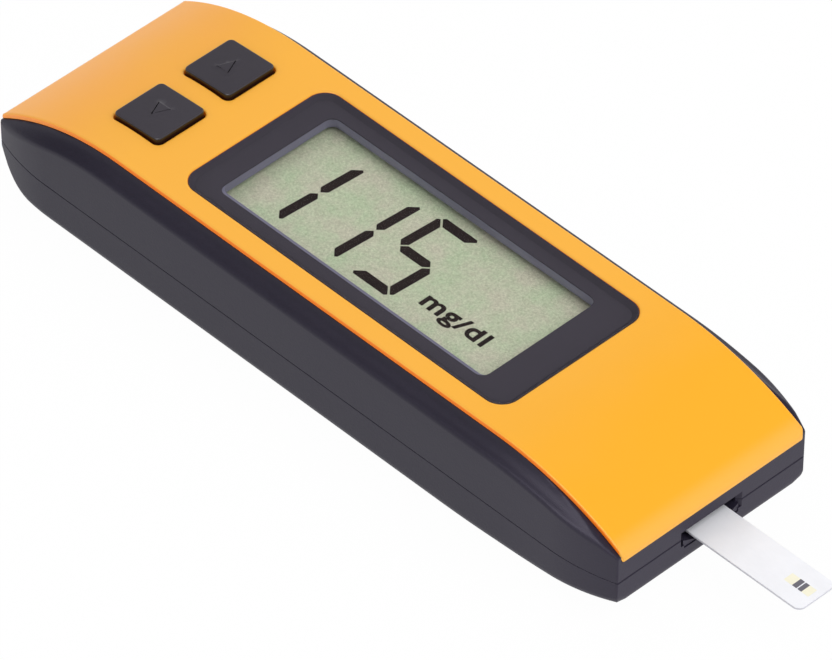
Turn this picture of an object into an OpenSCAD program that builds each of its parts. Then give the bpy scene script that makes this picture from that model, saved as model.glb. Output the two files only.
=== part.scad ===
// Hand-held blood glucose meter with a test strip in its port.
// +X runs along the meter towards the strip port, +Y is the top of the digits,
// +Z is up. The origin is the middle of the resting face. Millimetres.

/* [Case] */
// Length over the face cover
cover_l = 124.4; // [118:0.1:150]
// Width of the face cover
cover_w = 35; // [34:0.1:42]
// Height from the resting face to the top of the face cover
body_h = 19.1; // [19:0.1:24]
// Wall of both case halves
wall = 1.6; // [1.2:0.1:2]
// Height of the joint line between the case halves
parting_z = 7.4; // [7:0.1:8.6]
// How far the face cover stands out past the case ends
end_lip = 0.2; // [0:0.05:1]
// Length of the curved button end of the face
end_run = 24.45; // [20:0.05:30]
// Radius of the curved button end of the face
end_r = 45; // [42:0.5:70]
// Length of the curved strip end of the face
strip_end_run = 23.9; // [20:0.05:30]
// Radius of the curved strip end of the face
strip_end_r = 50; // [42:0.5:70]
// How far the cover turns down over the strip end of the case
strip_lip = 1; // [0:0.1:1.4]
// How far the case stands out past the long edges of the cover
scoop_out = 2.45; // [1.5:0.05:2.8]
// Height of the scooped band under the cover edge
scoop_drop = 1.85; // [1.6:0.05:3.2]
// Radius of the scooped band
scoop_r = 3.2; // [3:0.1:6]
// Radius along which the scoop falls at the button end
end_scoop_r = 48; // [42:1:90]
// Radius along which the scoop falls at the strip end
strip_scoop_r = 70; // [48:1:90]
// Length over which the flanks draw in at each end
taper_run = 11.6; // [8:0.1:13]
// Radius of the drawn-in flanks at the button end
taper_r = 34.5; // [28:0.5:60]
// Radius of the drawn-in flanks at the strip end
strip_taper_r = 36; // [28:0.5:60]
// Rounding of the long bottom edges
bottom_r = 2; // [1:0.1:3]
// Radius of the round lower edge at the button end
heel_r = 7; // [5:0.1:7]
// Length of the raised underside at the strip end
toe_run = 33.4; // [12:0.1:36]
// Radius of the raised underside
toe_r = 180; // [60:1:240]

/* [Face cover] */
// Thickness of the face cover
cover_t = 0.8; // [0.6:0.1:1.2]
// Corner radius of the face cover
cover_r = 0.6; // [0.3:0.1:3]

/* [Display] */
// Length of the lens
lens_l = 64; // [60:0.1:66]
// Width of the lens
lens_w = 27.9; // [26:0.1:30]
// Corner radius of the lens
lens_r = 2.9; // [2:0.1:5]
// Thickness of the lens
lens_t = 1; // [0.8:0.1:1.2]
// How far the lens lies below the face
lens_sunk = 0.1; // [0:0.05:0.3]
// Thickness of the dark adhesive border under the lens
border_t = 0.2; // [0.1:0.05:0.3]
// Border width on the button side
border_button = 4.5; // [3:0.1:6]
// Border width on the strip side
border_strip = 6.7; // [5:0.1:9]
// Border width along the long sides
border_long = 2.9; // [2:0.1:4]
// Gap between the keys and the lens
key_to_lens = 7.35; // [6:0.05:20]
// Depth of the display surface below the underside of the border
display_sunk = 1.5; // [1:0.1:2.5]
// Corner radius of the viewing window
view_r = 1.5; // [0.5:0.1:3]
// Thickness of each sheet of display glass
glass_t = 0.55; // [0.4:0.05:0.7]
// Thickness of the front polariser and of the reflector
film_t = 0.2; // [0.1:0.05:0.3]
// Height of the digits
digit_h = 16.2; // [12:0.1:17]
// Width of a digit between the middles of its bars
digit_w = 5.7; // [5:0.1:7]
// Distance from one digit to the next
digit_pitch = 10.9; // [9:0.1:12]
// Height of the digits' middle line above the middle of the window
digit_up = 0.8; // [0:0.1:1.5]
// Space between the button end of the window and the right-hand bars of the first digit
digit_in = 8.2; // [7:0.1:9]
// Width of the bars of the digits
bar_w = 1.4; // [0.8:0.05:1.6]

/* [Keys] */
// Side of each square key
key_w = 9.3; // [7:0.1:9.4]
// Corner radius of the keys
key_r = 0.9; // [0.6:0.1:3]
// How far the keys stand above the cover
key_proud = 0.85; // [0.6:0.05:1.6]
// Key travel
key_travel = 0.5; // [0.2:0.05:0.6]
// Distance from the button end of the cover to the middle of the keys
key_from_end = 21.55; // [20:0.05:24]
// Distance of each key's middle from the centre line
key_off = 6.7; // [6.2:0.1:7.2]
// Height of the raised triangles on the keys
triangle_h = 0.15; // [0.1:0.05:0.3]

/* [Batteries] */
// Diameter of a cell
cell_d = 10.5; // [9:0.1:10.6]
// Length of a cell with its positive end
cell_l = 44.5; // [38:0.1:46]
// Room for the contacts at each end of the cells
contact_run = 1.5; // [1.2:0.1:2.5]

/* [Strip and port] */
// Width of the test strip
strip_w = 7.2; // [5:0.1:8]
// Thickness of the test strip
strip_t = 0.4; // [0.3:0.05:0.6]
// Length of strip that shows outside
strip_out = 20.05; // [14:0.05:26]
// Length of strip inside the meter
strip_in = 10.6; // [8:0.1:11]
// Width of the port
port_w = 10.4; // [10:0.1:13]
// Height of the port
port_h = 3.3; // [2.6:0.1:3.6]

/* [Fits] */
// Gap round each moving piece
run_gap = 0.3; // [0.2:0.05:0.4]
// Gap round pieces that drop into a seat
seat_gap = 0.1; // [0.05:0.05:0.2]
// Diameter of the case screws
screw_d = 2; // [1.6:0.1:2.4]
// Thickness of the circuit board
board_t = 1; // [0.8:0.1:1.6]

/* [Hidden] */
$fn = 96;
big_fn = 240;

// Outline of the case
case_l = cover_l - 2 * end_lip;
case_w = cover_w + 2 * scoop_out;
case_top = body_h - cover_t;
case_end = case_l / 2;
// Side, start, radius and scoop radius of each curved end of the face
face_ends = [[-1, -cover_l / 2 + end_run, end_r, end_scoop_r], [1, cover_l / 2 - strip_end_run, strip_end_r, strip_scoop_r]];
taper_x = case_end - taper_run;
toe_x = case_end - toe_run;
far = 2 * cover_l;
// Underside of the cover's plate over the strip end of the case
cover_end = body_h - strip_end_r + sqrt(pow(strip_end_r - cover_t, 2) - pow(strip_end_run - end_lip, 2));
lip_in = 0.6;

// The scoop's circle runs through the cover edge and the crease below it
chord = norm([scoop_out, scoop_drop]);
sag = sqrt(scoop_r * scoop_r - chord * chord / 4);
scoop_y = cover_w / 2 + scoop_out / 2 + sag * scoop_drop / chord;
scoop_z = case_top - scoop_drop / 2 + sag * scoop_out / chord;

// Levels, from the face down
roof_z = case_top - wall;
lens_top = body_h - lens_sunk;
lens_bottom = lens_top - lens_t;
border_bottom = lens_bottom - border_t;
display_top = border_bottom - display_sunk;
glass_top = display_top - film_t;
cell_gap = 0.05;
glass_mid = glass_top - glass_t;
rear_top = glass_mid - cell_gap;
rear_bottom = rear_top - glass_t;
reflector_bottom = rear_bottom - film_t;
board_air = 0.3;
board_top = reflector_bottom - board_air;
board_bottom = board_top - board_t;

// Places along the case
key_x = -cover_l / 2 + key_from_end;
lens_x0 = key_x + key_w / 2 + key_to_lens;
lens_x1 = lens_x0 + lens_l;
view_x0 = lens_x0 + border_button;
view_x1 = lens_x1 - border_strip;
view_y = lens_w / 2 - border_long;
frame_wall = 1.2;
glass_edge = 2.2;
glass_x0 = view_x0 - glass_edge;
glass_x1 = view_x1 + glass_edge;
glass_y = view_y + glass_edge + 0.5;
frame_x0 = glass_x0 - frame_wall;
frame_x1 = glass_x1 + frame_wall;
frame_y = glass_y + frame_wall;
rear_y = view_y + 0.9;

// Battery bay, low in the button half
door_gap = 0.25;
cell_space = 0.4;
cell_y = (cell_d + cell_space) / 2;
bay_floor = wall + door_gap;
cell_z = bay_floor + cell_d / 2;
bay_half = cell_y + cell_d / 2 + 0.3;
bay_wall = 1;
bay_roof = cell_z + cell_d / 2 + 0.2;
bay_x0 = -case_end + heel_r + 0.8;
bay_x1 = bay_x0 + cell_l + 2 * contact_run;
door_half = bay_half + 1.4;
door_x1 = bay_x1 + 0.8;
tongue_w = 0.7;
tongue_t = 0.6;
tongue_z = (wall - tongue_t) / 2 + 0.15;
tongue_gap = 0.15;
rail_h = 2.4;
rail_w = 1.9;

// Strip port and connector
port_z = 7.15;
strip_z = port_z - 0.5;
strip_x0 = case_end - strip_in;
strip_x1 = case_end + strip_out;
slot_gap = 0.2;
block_x0 = strip_x0 - 10.8;
block_x1 = strip_x0 - 3.8;
nose_x1 = case_end - wall - 0.3;
block_half = strip_w / 2 + 3.4;
block_bottom = strip_z - 1.7;
block_top = strip_z + strip_t + 2.4;
contact_t = 0.25;
contact_w = 1.1;
contact_pitch = 2.1;

// Case screws: two past the battery bay's side walls, two beside the connector,
// which sit higher because the underside rises there
boss_d = screw_d + 2.8;
head_d = screw_d + 1.8;
head_t = 1.4;
screw_seat = 3;
screw_places = [[key_x - 6.5, case_w / 2 - wall - 2.2, screw_seat],
                [taper_x + 2.6, case_w / 2 - wall - 4.2, screw_seat + 0.8]];
board_screw_places = [[frame_x0 - 3, frame_y - 1.2], [frame_x1 + 3.2, frame_y - 2.2]];
board_screw_d = 1.6;
board_boss_d = 3.8;
board_x0 = key_x - 9.4;
board_x1 = block_x1;
board_half = case_w / 2 - wall - 1.9;

// Keys: their tops slope with the face, which falls by key_drop from one edge of a key to the other
key_top = body_h + key_proud;
key_drop = end_r - sqrt(end_r * end_r - pow(max(0, face_ends[0][1] - key_x + key_w / 2), 2));
key_tilt = atan(key_drop / key_w);
flange_t = 0.5;
flange_out = 0.7;
switch_h = 1.1;
stem_up = 0.4;
switch_top = board_top + switch_h;
flange_bottom = switch_top - flange_t + 0.1;
key_guide = 1;

// Parts on the board
chip_air = 0.1;
leg_w = 0.35;
leg_l = 1.1;
leg_h = 0.6;
capacitor = [2, 1.25, 0.9];
capacitor_places = [[13, 4], [13, 1], [13, -2], [29, 3], [29, 0], [29, -3]];
buzzer_d = 8;
buzzer_h = 3;

// A rectangle with round corners, from two opposite corners and a radius
module round_rect(x0, y0, x1, y1, r) {
  translate([x0 + r, y0]) square([x1 - x0 - 2 * r, y1 - y0]);
  translate([x0, y0 + r]) square([x1 - x0, y1 - y0 - 2 * r]);
  for (x = [x0 + r, x1 - r], y = [y0 + r, y1 - r]) translate([x, y]) circle(r);
}

// A plate with round corners between two levels
module plate(x0, y0, x1, y1, r, z0, z1) {
  translate([0, 0, z0]) linear_extrude(z1 - z0) round_rect(x0, y0, x1, y1, r);
}

// A block from two opposite corners
module block(low, high) {
  translate(low) cube(high - low);
}

// Stands a drawing of X and Z up along Y
module along_y(y0, y1) {
  translate([0, y1, 0]) rotate([90, 0, 0]) linear_extrude(y1 - y0) children();
}

// Copies to the other side of the centre line
module both_sides() {
  children();
  mirror([0, 1, 0]) children();
}

// Side view of everything below the arched face, a depth under the cover's top
module under_face(depth) {
  intersection() {
    translate([-far / 2, 0]) square([far, body_h - depth]);
    union() {
      translate([face_ends[0][1], 0]) square([face_ends[1][1] - face_ends[0][1], body_h]);
      for (e = face_ends) translate([e[1], body_h - e[2]]) circle(e[2] - depth, $fn = big_fn);
    }
  }
}

// Side view of the case, drawn in by an inset
module side_view(inset) {
  difference() {
    intersection() {
      under_face(cover_t + inset);
      translate([-case_end + inset, inset]) square([case_l - 2 * inset, body_h]);
    }
    difference() {
      translate([-case_end - 1, -1]) square(heel_r + 1);
      translate([-case_end + heel_r, heel_r]) circle(heel_r - inset);
    }
    difference() {
      translate([toe_x, -1]) square([toe_run + 1, parting_z - 1]);
      translate([toe_x, toe_r]) circle(toe_r - inset, $fn = big_fn);
    }
  }
}

// Top view of the case, drawn in by an inset
module top_view(inset) {
  difference() {
    translate([-case_end + inset, -case_w / 2 + inset]) square([case_l - 2 * inset, case_w - 2 * inset]);
    for (end = [[-1, taper_r], [1, strip_taper_r]], sy = [-1, 1]) scale([end[0], sy]) difference() {
      translate([taper_x, case_w / 2 - taper_run / 2]) square([taper_run + 1, taper_run]);
      translate([taper_x, case_w / 2 - end[1]]) circle(end[1] - inset, $fn = big_fn);
    }
  }
}

// End view of the case with its two round bottom edges
module end_view(inset) {
  half = case_w / 2 - inset;
  r = max(bottom_r - inset, 0.2);
  translate([-half + r, inset]) square([2 * half - 2 * r, body_h]);
  translate([-half, inset + r]) square([2 * half, body_h]);
  for (s = [-1, 1]) translate([s * (half - r), inset + r]) circle(r);
}

// The round scoop under each long edge of the cover falls less than the face does, and so runs out at the ends
module scoop(grow) {
  both_sides() {
    translate([face_ends[0][1], scoop_y, scoop_z]) rotate([0, 90, 0])
      cylinder(r = scoop_r + grow, h = face_ends[1][1] - face_ends[0][1]);
    for (e = face_ends) translate([e[1], scoop_y, body_h - e[3]]) rotate([90, 0, 0])
      rotate_extrude(angle = -e[0] * 45, start = 90, $fn = big_fn)
        translate([scoop_z - body_h + e[3], 0]) circle(scoop_r + grow, $fn = 64);
  }
}

// The whole case as one solid, drawn in by an inset
module case_body(inset) {
  difference() {
    intersection() {
      linear_extrude(body_h) top_view(inset);
      along_y(-case_w, case_w) side_view(inset);
      rotate([90, 0, 90]) translate([0, 0, -far / 2]) linear_extrude(far) end_view(inset);
    }
    scoop(inset);
  }
}

// The part of the case between two levels
module case_slice(z0, z1) {
  intersection() {
    case_body(0);
    block([-far / 2, -case_w, z0], [far / 2, case_w, z1]);
  }
}

// Key outline, grown by a gap, in plan
module key_plan(side, grow) {
  half = key_w / 2 + grow;
  round_rect(key_x - half, side * key_off - half, key_x + half, side * key_off + half, key_r + grow);
}

// Wells for both keys between two levels
module key_wells(z0, z1) {
  for (side = [-1, 1]) translate([0, 0, z0]) linear_extrude(z1 - z0) key_plan(side, run_gap);
}

// The port is wider at its mouth on its upper half
module port_cut() {
  along_y(-port_w / 2, port_w / 2)
    translate([case_end - 2 * wall, port_z - port_h / 2]) square([4 * wall, port_h]);
  for (s = [-1, 1]) translate([0, 0, port_z - port_h / 2 + 0.6]) linear_extrude(port_h - 0.6)
    polygon([[case_end - wall - 0.1, s * (port_w / 2 - 0.1)], [case_end + 1, s * (port_w / 2 - 0.1)],
             [case_end + 1, s * (port_w / 2 + 0.9)], [case_end, s * (port_w / 2 + 0.5)]]);
}

module face_cover() {
  color([1, 0.65, 0.2]) difference() {
    intersection() {
      plate(-cover_l / 2, -cover_w / 2, cover_l / 2, cover_w / 2, cover_r, 0, body_h);
      along_y(-cover_w, cover_w) difference() {
        under_face(0);
        difference() {
          under_face(cover_t);
          translate([case_end - lip_in, cover_end - strip_lip]) square([far, body_h]);
        }
        translate([case_end - 1, 0]) square([far, cover_end - strip_lip]);
      }
    }
    plate(lens_x0 - seat_gap, -lens_w / 2 - seat_gap, lens_x1 + seat_gap, lens_w / 2 + seat_gap,
          lens_r + seat_gap, border_bottom, body_h + 1);
    key_wells(flange_bottom, body_h + 1);
  }
}

module upper_case() {
  color([0.27, 0.265, 0.3]) difference() {
    union() {
      difference() {
        case_slice(parting_z, body_h);
        case_body(wall);
      }
      // Guides that stop the keys' flanges, case bosses and board bosses
      intersection() {
        union() {
          for (side = [-1, 1]) translate([0, 0, flange_bottom + flange_t + 0.15]) linear_extrude(body_h)
            key_plan(side, run_gap + key_guide);
          both_sides() for (p = screw_places) translate([p[0], p[1], parting_z]) cylinder(d = boss_d, h = body_h);
          both_sides() for (p = board_screw_places) translate([p[0], p[1], board_top])
            cylinder(d = board_boss_d, h = body_h);
        }
        case_body(wall / 2);
      }
    }
    key_wells(parting_z, body_h);
    plate(lens_x0 - seat_gap, -lens_w / 2 - seat_gap, lens_x1 + seat_gap, lens_w / 2 + seat_gap,
          lens_r + seat_gap, border_bottom, body_h);
    block([case_end - lip_in - seat_gap, -cover_w / 2 - seat_gap, cover_end - strip_lip], [far, cover_w / 2 + seat_gap, body_h]);
    plate(view_x0 - frame_wall - seat_gap, -view_y - frame_wall - seat_gap,
          view_x1 + frame_wall + seat_gap, view_y + frame_wall + seat_gap,
          view_r + frame_wall + seat_gap, roof_z - 1, body_h);
    both_sides() for (p = screw_places) translate([p[0], p[1], parting_z - 1])
      cylinder(d = screw_d, h = p[2] + 6 - parting_z + 1.5);
    both_sides() for (p = board_screw_places) translate([p[0], p[1], board_top - 1])
      cylinder(d = board_screw_d, h = 2.6);
    port_cut();
  }
}

// Bottom of the case left open for the battery door and its sliding tongues
module door_opening() {
  half = door_half + door_gap;
  intersection() {
    difference() {
      block([-case_end - 1, -half, -1], [door_x1 + door_gap, half, parting_z + 1]);
      along_y(-half, half) side_view(bay_floor);
    }
    block([-case_end - 1, -half, -1], [door_x1 + door_gap, half, parting_z]);
  }
  both_sides() block([-case_end - 1, half - 0.1, tongue_z - tongue_gap],
                     [door_x1 + door_gap, half + tongue_w, tongue_z + tongue_t + tongue_gap]);
}

module lower_case() {
  color([0.27, 0.265, 0.3]) difference() {
    union() {
      difference() {
        case_slice(0, parting_z);
        case_body(wall);
      }
      // Battery bay with its roof
      intersection() {
        block([bay_x0 - bay_wall, -bay_half - bay_wall, bay_floor], [bay_x1 + bay_wall, bay_half + bay_wall, board_bottom]);
        case_body(wall + seat_gap);
      }
      // Door rails that carry the bay, screw bosses, and the rest under the connector
      intersection() {
        union() {
          both_sides() block([bay_x0 - bay_wall, bay_half, bay_floor], [door_x1 + rail_w, door_half + rail_w, rail_h + 1]);
          both_sides() block([-case_end + heel_r, door_half, 0], [door_x1 + rail_w, door_half + rail_w, rail_h + 1]);
          both_sides() for (p = screw_places) translate([p[0], p[1], 0]) cylinder(d = boss_d, h = parting_z);
          block([block_x0 + 1, -block_half, 0], [block_x1, block_half, block_bottom]);
        }
        case_body(0);
      }
    }
    block([bay_x0, -bay_half, -1], [bay_x1, bay_half, bay_roof]);
    door_opening();
    both_sides() for (p = screw_places) translate([p[0], p[1], -1]) {
      cylinder(d = screw_d + 0.3, h = body_h);
      cylinder(d = head_d + 0.4, h = p[2] + 1);
    }
    port_cut();
  }
}

module battery_door() {
  color([0.27, 0.265, 0.3]) {
    difference() {
      intersection() {
        case_body(0);
        block([-case_end - 1, -door_half, -1], [door_x1, door_half, parting_z - door_gap]);
        along_y(-door_half, door_half) difference() {
          side_view(0);
          side_view(wall);
        }
      }
      // Finger grooves
      for (i = [0:4]) translate([-case_end + heel_r + 7 + 2 * i, 0, -0.65]) rotate([90, 0, 0])
        cylinder(r = 1, h = 14, center = true);
    }
    both_sides() block([-case_end + heel_r, door_half - 0.2, tongue_z],
                       [door_x1, door_half + tongue_w, tongue_z + tongue_t]);
  }
}

module display_lens() {
  color([0.75, 0.85, 0.85, 0.4])
    plate(lens_x0, -lens_w / 2, lens_x1, lens_w / 2, lens_r, lens_bottom, lens_top);
}

module lens_border() {
  color([0.28, 0.265, 0.3]) difference() {
    plate(lens_x0, -lens_w / 2, lens_x1, lens_w / 2, lens_r, border_bottom, lens_bottom);
    plate(view_x0, -view_y, view_x1, view_y, view_r, border_bottom - 1, lens_bottom + 1);
  }
}

// Holds the display glass; its inner walls show as a grey step round the display
module display_frame() {
  color([0.42, 0.415, 0.48]) difference() {
    union() {
      plate(view_x0 - frame_wall, -view_y - frame_wall, view_x1 + frame_wall, view_y + frame_wall,
            view_r + frame_wall, display_top, border_bottom);
      plate(frame_x0, -frame_y, frame_x1, frame_y, 1.5, board_top, roof_z - seat_gap);
    }
    plate(view_x0, -view_y, view_x1, view_y, view_r, board_top - 1, body_h);
    block([glass_x0 - seat_gap, -glass_y - seat_gap, board_top - 1],
          [glass_x1 + seat_gap, glass_y + seat_gap, display_top]);
  }
}

module front_polariser() {
  color([0.7, 0.73, 0.62]) block([glass_x0 + 0.8, -view_y - 0.6, glass_top], [glass_x1 - 0.8, view_y + 0.6, display_top]);
}

module front_glass() {
  color([0.75, 0.8, 0.7]) block([glass_x0, -glass_y, glass_mid], [glass_x1, glass_y, glass_top]);
}

module rear_glass() {
  color([0.7, 0.75, 0.66]) block([glass_x0, -rear_y, rear_bottom], [glass_x1, rear_y, rear_top]);
}

module reflector() {
  color([0.66, 0.7, 0.58]) block([glass_x0, -rear_y, reflector_bottom], [glass_x1, rear_y, rear_bottom]);
}

// One bar of a digit, drawn along X with pointed ends
module bar(length) {
  h = length / 2;
  polygon([[-h, 0], [-h + bar_w / 2, bar_w / 2], [h - bar_w / 2, bar_w / 2],
           [h, 0], [h - bar_w / 2, -bar_w / 2], [-h + bar_w / 2, -bar_w / 2]]);
}

bar_space = 0.35;
lit_bars = [[1, 2], [1, 2], [0, 2, 3, 5, 6]];
digits_x = view_x0 + digit_in;

// Bars of one digit, counted clockwise from the top, with the middle bar last
module digit(bars) {
  half = digit_h / 2 - bar_w / 2;
  upright = half - bar_space;
  level = digit_w - bar_space;
  centres = [[0, half], [digit_w / 2, half / 2], [digit_w / 2, -half / 2], [0, -half],
             [-digit_w / 2, -half / 2], [-digit_w / 2, half / 2], [0, 0]];
  for (b = bars) translate(centres[b]) rotate(b == 0 || b == 3 || b == 6 ? 0 : 90)
    bar(b == 0 || b == 3 || b == 6 ? level : upright);
}

module display_segments() {
  color([0.2, 0.16, 0.17]) translate([0, 0, rear_top]) linear_extrude(cell_gap)
    for (i = [0:len(lit_bars) - 1]) translate([digits_x + i * digit_pitch - digit_w / 2, digit_up]) digit(lit_bars[i]);
}

module zebra_strips() {
  color([0.85, 0.5, 0.55]) both_sides()
    block([glass_x0 + 1, rear_y + 0.2, board_top], [glass_x1 - 1, glass_y - 0.1, glass_mid]);
}

module circuit_board() {
  color([0.1, 0.4, 0.22]) difference() {
    plate(board_x0, -board_half, board_x1, board_half, 1, board_bottom, board_top);
    both_sides() for (p = screw_places) translate([p[0], p[1], board_bottom - 1])
      cylinder(d = boss_d + 0.6, h = board_t + 2);
    both_sides() for (p = screw_places)
      block([p[0] - boss_d / 2 - 0.3, p[1], board_bottom - 1], [p[0] + boss_d / 2 + 0.3, case_w, board_top + 1]);
    both_sides() for (p = board_screw_places) translate([p[0], p[1], board_bottom - 1])
      cylinder(d = board_screw_d + 0.2, h = board_t + 2);
  }
}

// A chip in a flat package with legs on two sides, hung under the board
module chip(x, y, l, w, h, legs) {
  block([x - l / 2, y - w / 2, board_bottom - h], [x + l / 2, y + w / 2, board_bottom - chip_air]);
  for (s = [-1, 1], i = [0:legs - 1])
    translate([x + (i - (legs - 1) / 2) * (l - 1) / (legs - 1), y + s * (w / 2 + leg_l / 2 - chip_air), board_bottom - leg_h / 2])
      cube([leg_w, leg_l, leg_h], center = true);
}

module microcontroller() {
  color([0.13, 0.13, 0.14]) chip(4, 0, 11, 11, 1.3, 10);
}

module signal_chip() {
  color([0.13, 0.13, 0.14]) chip(22, 5.5, 6.5, 4.4, 1.1, 7);
}

module memory_chip() {
  color([0.13, 0.13, 0.14]) chip(22, -6, 5, 4, 1.1, 4);
}

module quartz_crystal() {
  color([0.75, 0.76, 0.78]) translate([12.5, 9.6, board_bottom - 1.05]) rotate([0, 90, 0]) cylinder(d = 2.1, h = 6.2);
}

module board_capacitors() {
  color([0.62, 0.5, 0.38]) for (p = capacitor_places)
    translate([p[0], p[1], board_bottom - capacitor[2]]) cube(capacitor);
}

module buzzer() {
  color([0.16, 0.16, 0.17]) translate([1.5, -12.2, board_bottom - buzzer_h]) difference() {
    cylinder(d = buzzer_d, h = buzzer_h);
    translate([0, 0, -1]) cylinder(d = 1.6, h = 2);
  }
}

// A key cap with a flange that stays under the case and a post over its switch
// The plane of the keys' tops, with its origin at their edge nearest the display
module on_key_top() {
  translate([key_x + key_w / 2, 0, key_top]) rotate([0, -key_tilt, 0]) children();
}

module key(side) {
  color([0.16, 0.155, 0.165]) {
    difference() {
      union() {
        translate([0, 0, flange_bottom]) linear_extrude(key_top - flange_bottom) key_plan(side, 0);
        translate([0, 0, flange_bottom]) linear_extrude(flange_t) key_plan(side, flange_out);
      }
      half = key_w / 2 - 0.9;
      block([key_x - half, side * key_off - half, flange_bottom - 1],
            [key_x + half, side * key_off + half, key_top - 1.6]);
      on_key_top() block([-2 * key_w, -far, 0], [key_w, far, key_w]);
    }
    // Triangle that points away from the other key
    on_key_top() translate([-key_w / 2 - 0.2, side * (key_off - 1.4), -0.2]) linear_extrude(0.2 + triangle_h)
      polygon([[-1.5, 0], [1.5, 0], [0, side * 3.3]]);
    translate([key_x, side * key_off, switch_top + stem_up]) cylinder(d = 2, h = key_top - 1.5 - switch_top - stem_up);
  }
}

module up_key() {
  key(1);
}

module down_key() {
  key(-1);
}

module key_switch(side) {
  color([0.12, 0.12, 0.13]) translate([key_x, side * key_off, board_top]) difference() {
    translate([-2.6, -2.6, 0]) cube([5.2, 5.2, switch_h]);
    translate([0, 0, 0.3]) cylinder(d = 2.4, h = switch_h);
  }
}

module switch_stem(side) {
  color([0.85, 0.84, 0.8]) translate([key_x, side * key_off, switch_top + stem_up])
    mirror([0, 0, 1]) cylinder(d = 1.8, h = stem_up + switch_h - 0.3 - key_travel - 0.05);
}

module up_switch() {
  key_switch(1);
}

module down_switch() {
  key_switch(-1);
}

module up_switch_stem() {
  switch_stem(1);
}

module down_switch_stem() {
  switch_stem(-1);
}

// Side view of one contact: a finger over the strip, and a leg up to the board
module contact_view() {
  finger = strip_z + strip_t + 0.12;
  level = block_top - 1;
  polygon([[strip_x0 + 4.6, finger], [strip_x0 + 5.2, finger + 0.35], [strip_x0 + 4.5, finger + contact_t],
           [block_x1 - 0.6, level + contact_t], [block_x0 + 3.2 + contact_t, level + contact_t],
           [block_x0 + 3.2 + contact_t, board_bottom], [block_x0 + 3.2, board_bottom],
           [block_x0 + 3.2, level], [block_x1 - 0.6, level]]);
}

contact_ys = [for (i = [-1:1]) i * contact_pitch];

module connector_contacts() {
  color([0.85, 0.7, 0.35]) for (y = contact_ys) along_y(y - contact_w / 2, y + contact_w / 2) contact_view();
}

module strip_connector() {
  color([0.9, 0.89, 0.84]) difference() {
    union() {
      block([block_x0, -block_half, block_bottom], [block_x1, block_half, board_bottom]);
      block([block_x1 - 1, -block_half, block_bottom], [nose_x1, block_half, block_top]);
    }
    block([strip_x0 - slot_gap, -strip_w / 2 - slot_gap, strip_z - slot_gap],
          [nose_x1 + 1, strip_w / 2 + slot_gap, strip_z + strip_t + slot_gap]);
    for (y = contact_ys) along_y(y - contact_w / 2, y + contact_w / 2) contact_view();
    // Room above the fingers
    block([strip_x0 - slot_gap, -contact_pitch - 1, strip_z], [strip_x0 + 6, contact_pitch + 1, block_top - 0.5]);
  }
}

// A cell with its positive end facing along X by the given direction
module cell(y, dir) {
  mid = (bay_x0 + bay_x1) / 2;
  color([0.2, 0.35, 0.55]) translate([mid, y, cell_z]) rotate([0, 90 * dir, 0]) translate([0, 0, -cell_l / 2]) {
    cylinder(d = cell_d, h = cell_l - 1);
    cylinder(d = 3.8, h = cell_l);
  }
}

module battery_1() {
  cell(cell_y, 1);
}

module battery_2() {
  cell(-cell_y, -1);
}

// A bowed leaf on a plate, against the flat end of a cell
module leaf(x, y, dir) {
  translate([x, 0, 0]) scale([dir, 1, 1]) {
    block([0, y - 3.6, cell_z - 4], [0.3, y + 3.6, cell_z + 4]);
    along_y(y - 1.6, y + 1.6) polygon([[0.2, cell_z - 3.6], [contact_run - 0.02, cell_z - 0.8],
      [contact_run - 0.02, cell_z + 0.8], [contact_run - 0.4, cell_z + 0.6],
      [contact_run - 0.4, cell_z - 0.6], [0.2, cell_z - 3]]);
  }
}

module battery_springs() {
  color([0.8, 0.8, 0.8]) {
    leaf(bay_x0, cell_y, 1);
    leaf(bay_x1, -cell_y, -1);
  }
}

// Flat plates with a raised pad, against the positive ends
module battery_plates() {
  color([0.8, 0.8, 0.8]) for (s = [-1, 1]) {
    x = s > 0 ? bay_x1 : bay_x0;
    translate([x, s * cell_y, cell_z]) rotate([0, -90 * s, 0]) {
      translate([-4, -3.6, 0]) cube([8, 7.2, 0.3]);
      cylinder(d = 3, h = contact_run - 0.02);
    }
  }
}

module case_screws() {
  color([0.7, 0.7, 0.72]) both_sides() for (p = screw_places) translate(p) {
    difference() {
      mirror([0, 0, 1]) cylinder(d = head_d, h = head_t);
      for (a = [0, 90]) translate([0, 0, -head_t]) rotate(a) cube([head_d * 0.6, 0.5, 1.2], center = true);
    }
    cylinder(d = screw_d, h = 6);
  }
}

module board_screws() {
  color([0.7, 0.7, 0.72]) both_sides() for (p = board_screw_places) translate([p[0], p[1], board_bottom]) {
    difference() {
      mirror([0, 0, 1]) cylinder(d = 3, h = 0.9);
      translate([0, 0, -0.9]) for (a = [0, 90]) rotate(a) cube([1.8, 0.4, 0.8], center = true);
    }
    cylinder(d = board_screw_d, h = board_t + 1.5);
  }
}

film_h = 0.1;
mark_h = 0.05;
strip_half = strip_w / 2;
tip_r = 1.2;
track_l = 4;

// Strip outline from one end to the other, with round outer corners
module strip_plan(x0, x1) {
  translate([x0, -strip_half]) square([x1 - x0 - tip_r, strip_w]);
  translate([x1 - 2 * tip_r, -strip_half + tip_r]) square([2 * tip_r, strip_w - 2 * tip_r]);
  for (s = [-1, 1]) translate([x1 - tip_r, s * (strip_half - tip_r)]) circle(tip_r);
}

module strip_base() {
  color([0.93, 0.93, 0.95]) translate([0, 0, strip_z]) linear_extrude(strip_t - film_h) strip_plan(strip_x0, strip_x1);
}

module strip_tracks() {
  color([0.25, 0.25, 0.27]) for (y = contact_ys)
    block([strip_x0 + 0.3, y - 0.6, strip_z + strip_t - film_h], [strip_x0 + track_l + 1, y + 0.6, strip_z + strip_t - mark_h]);
}

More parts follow.
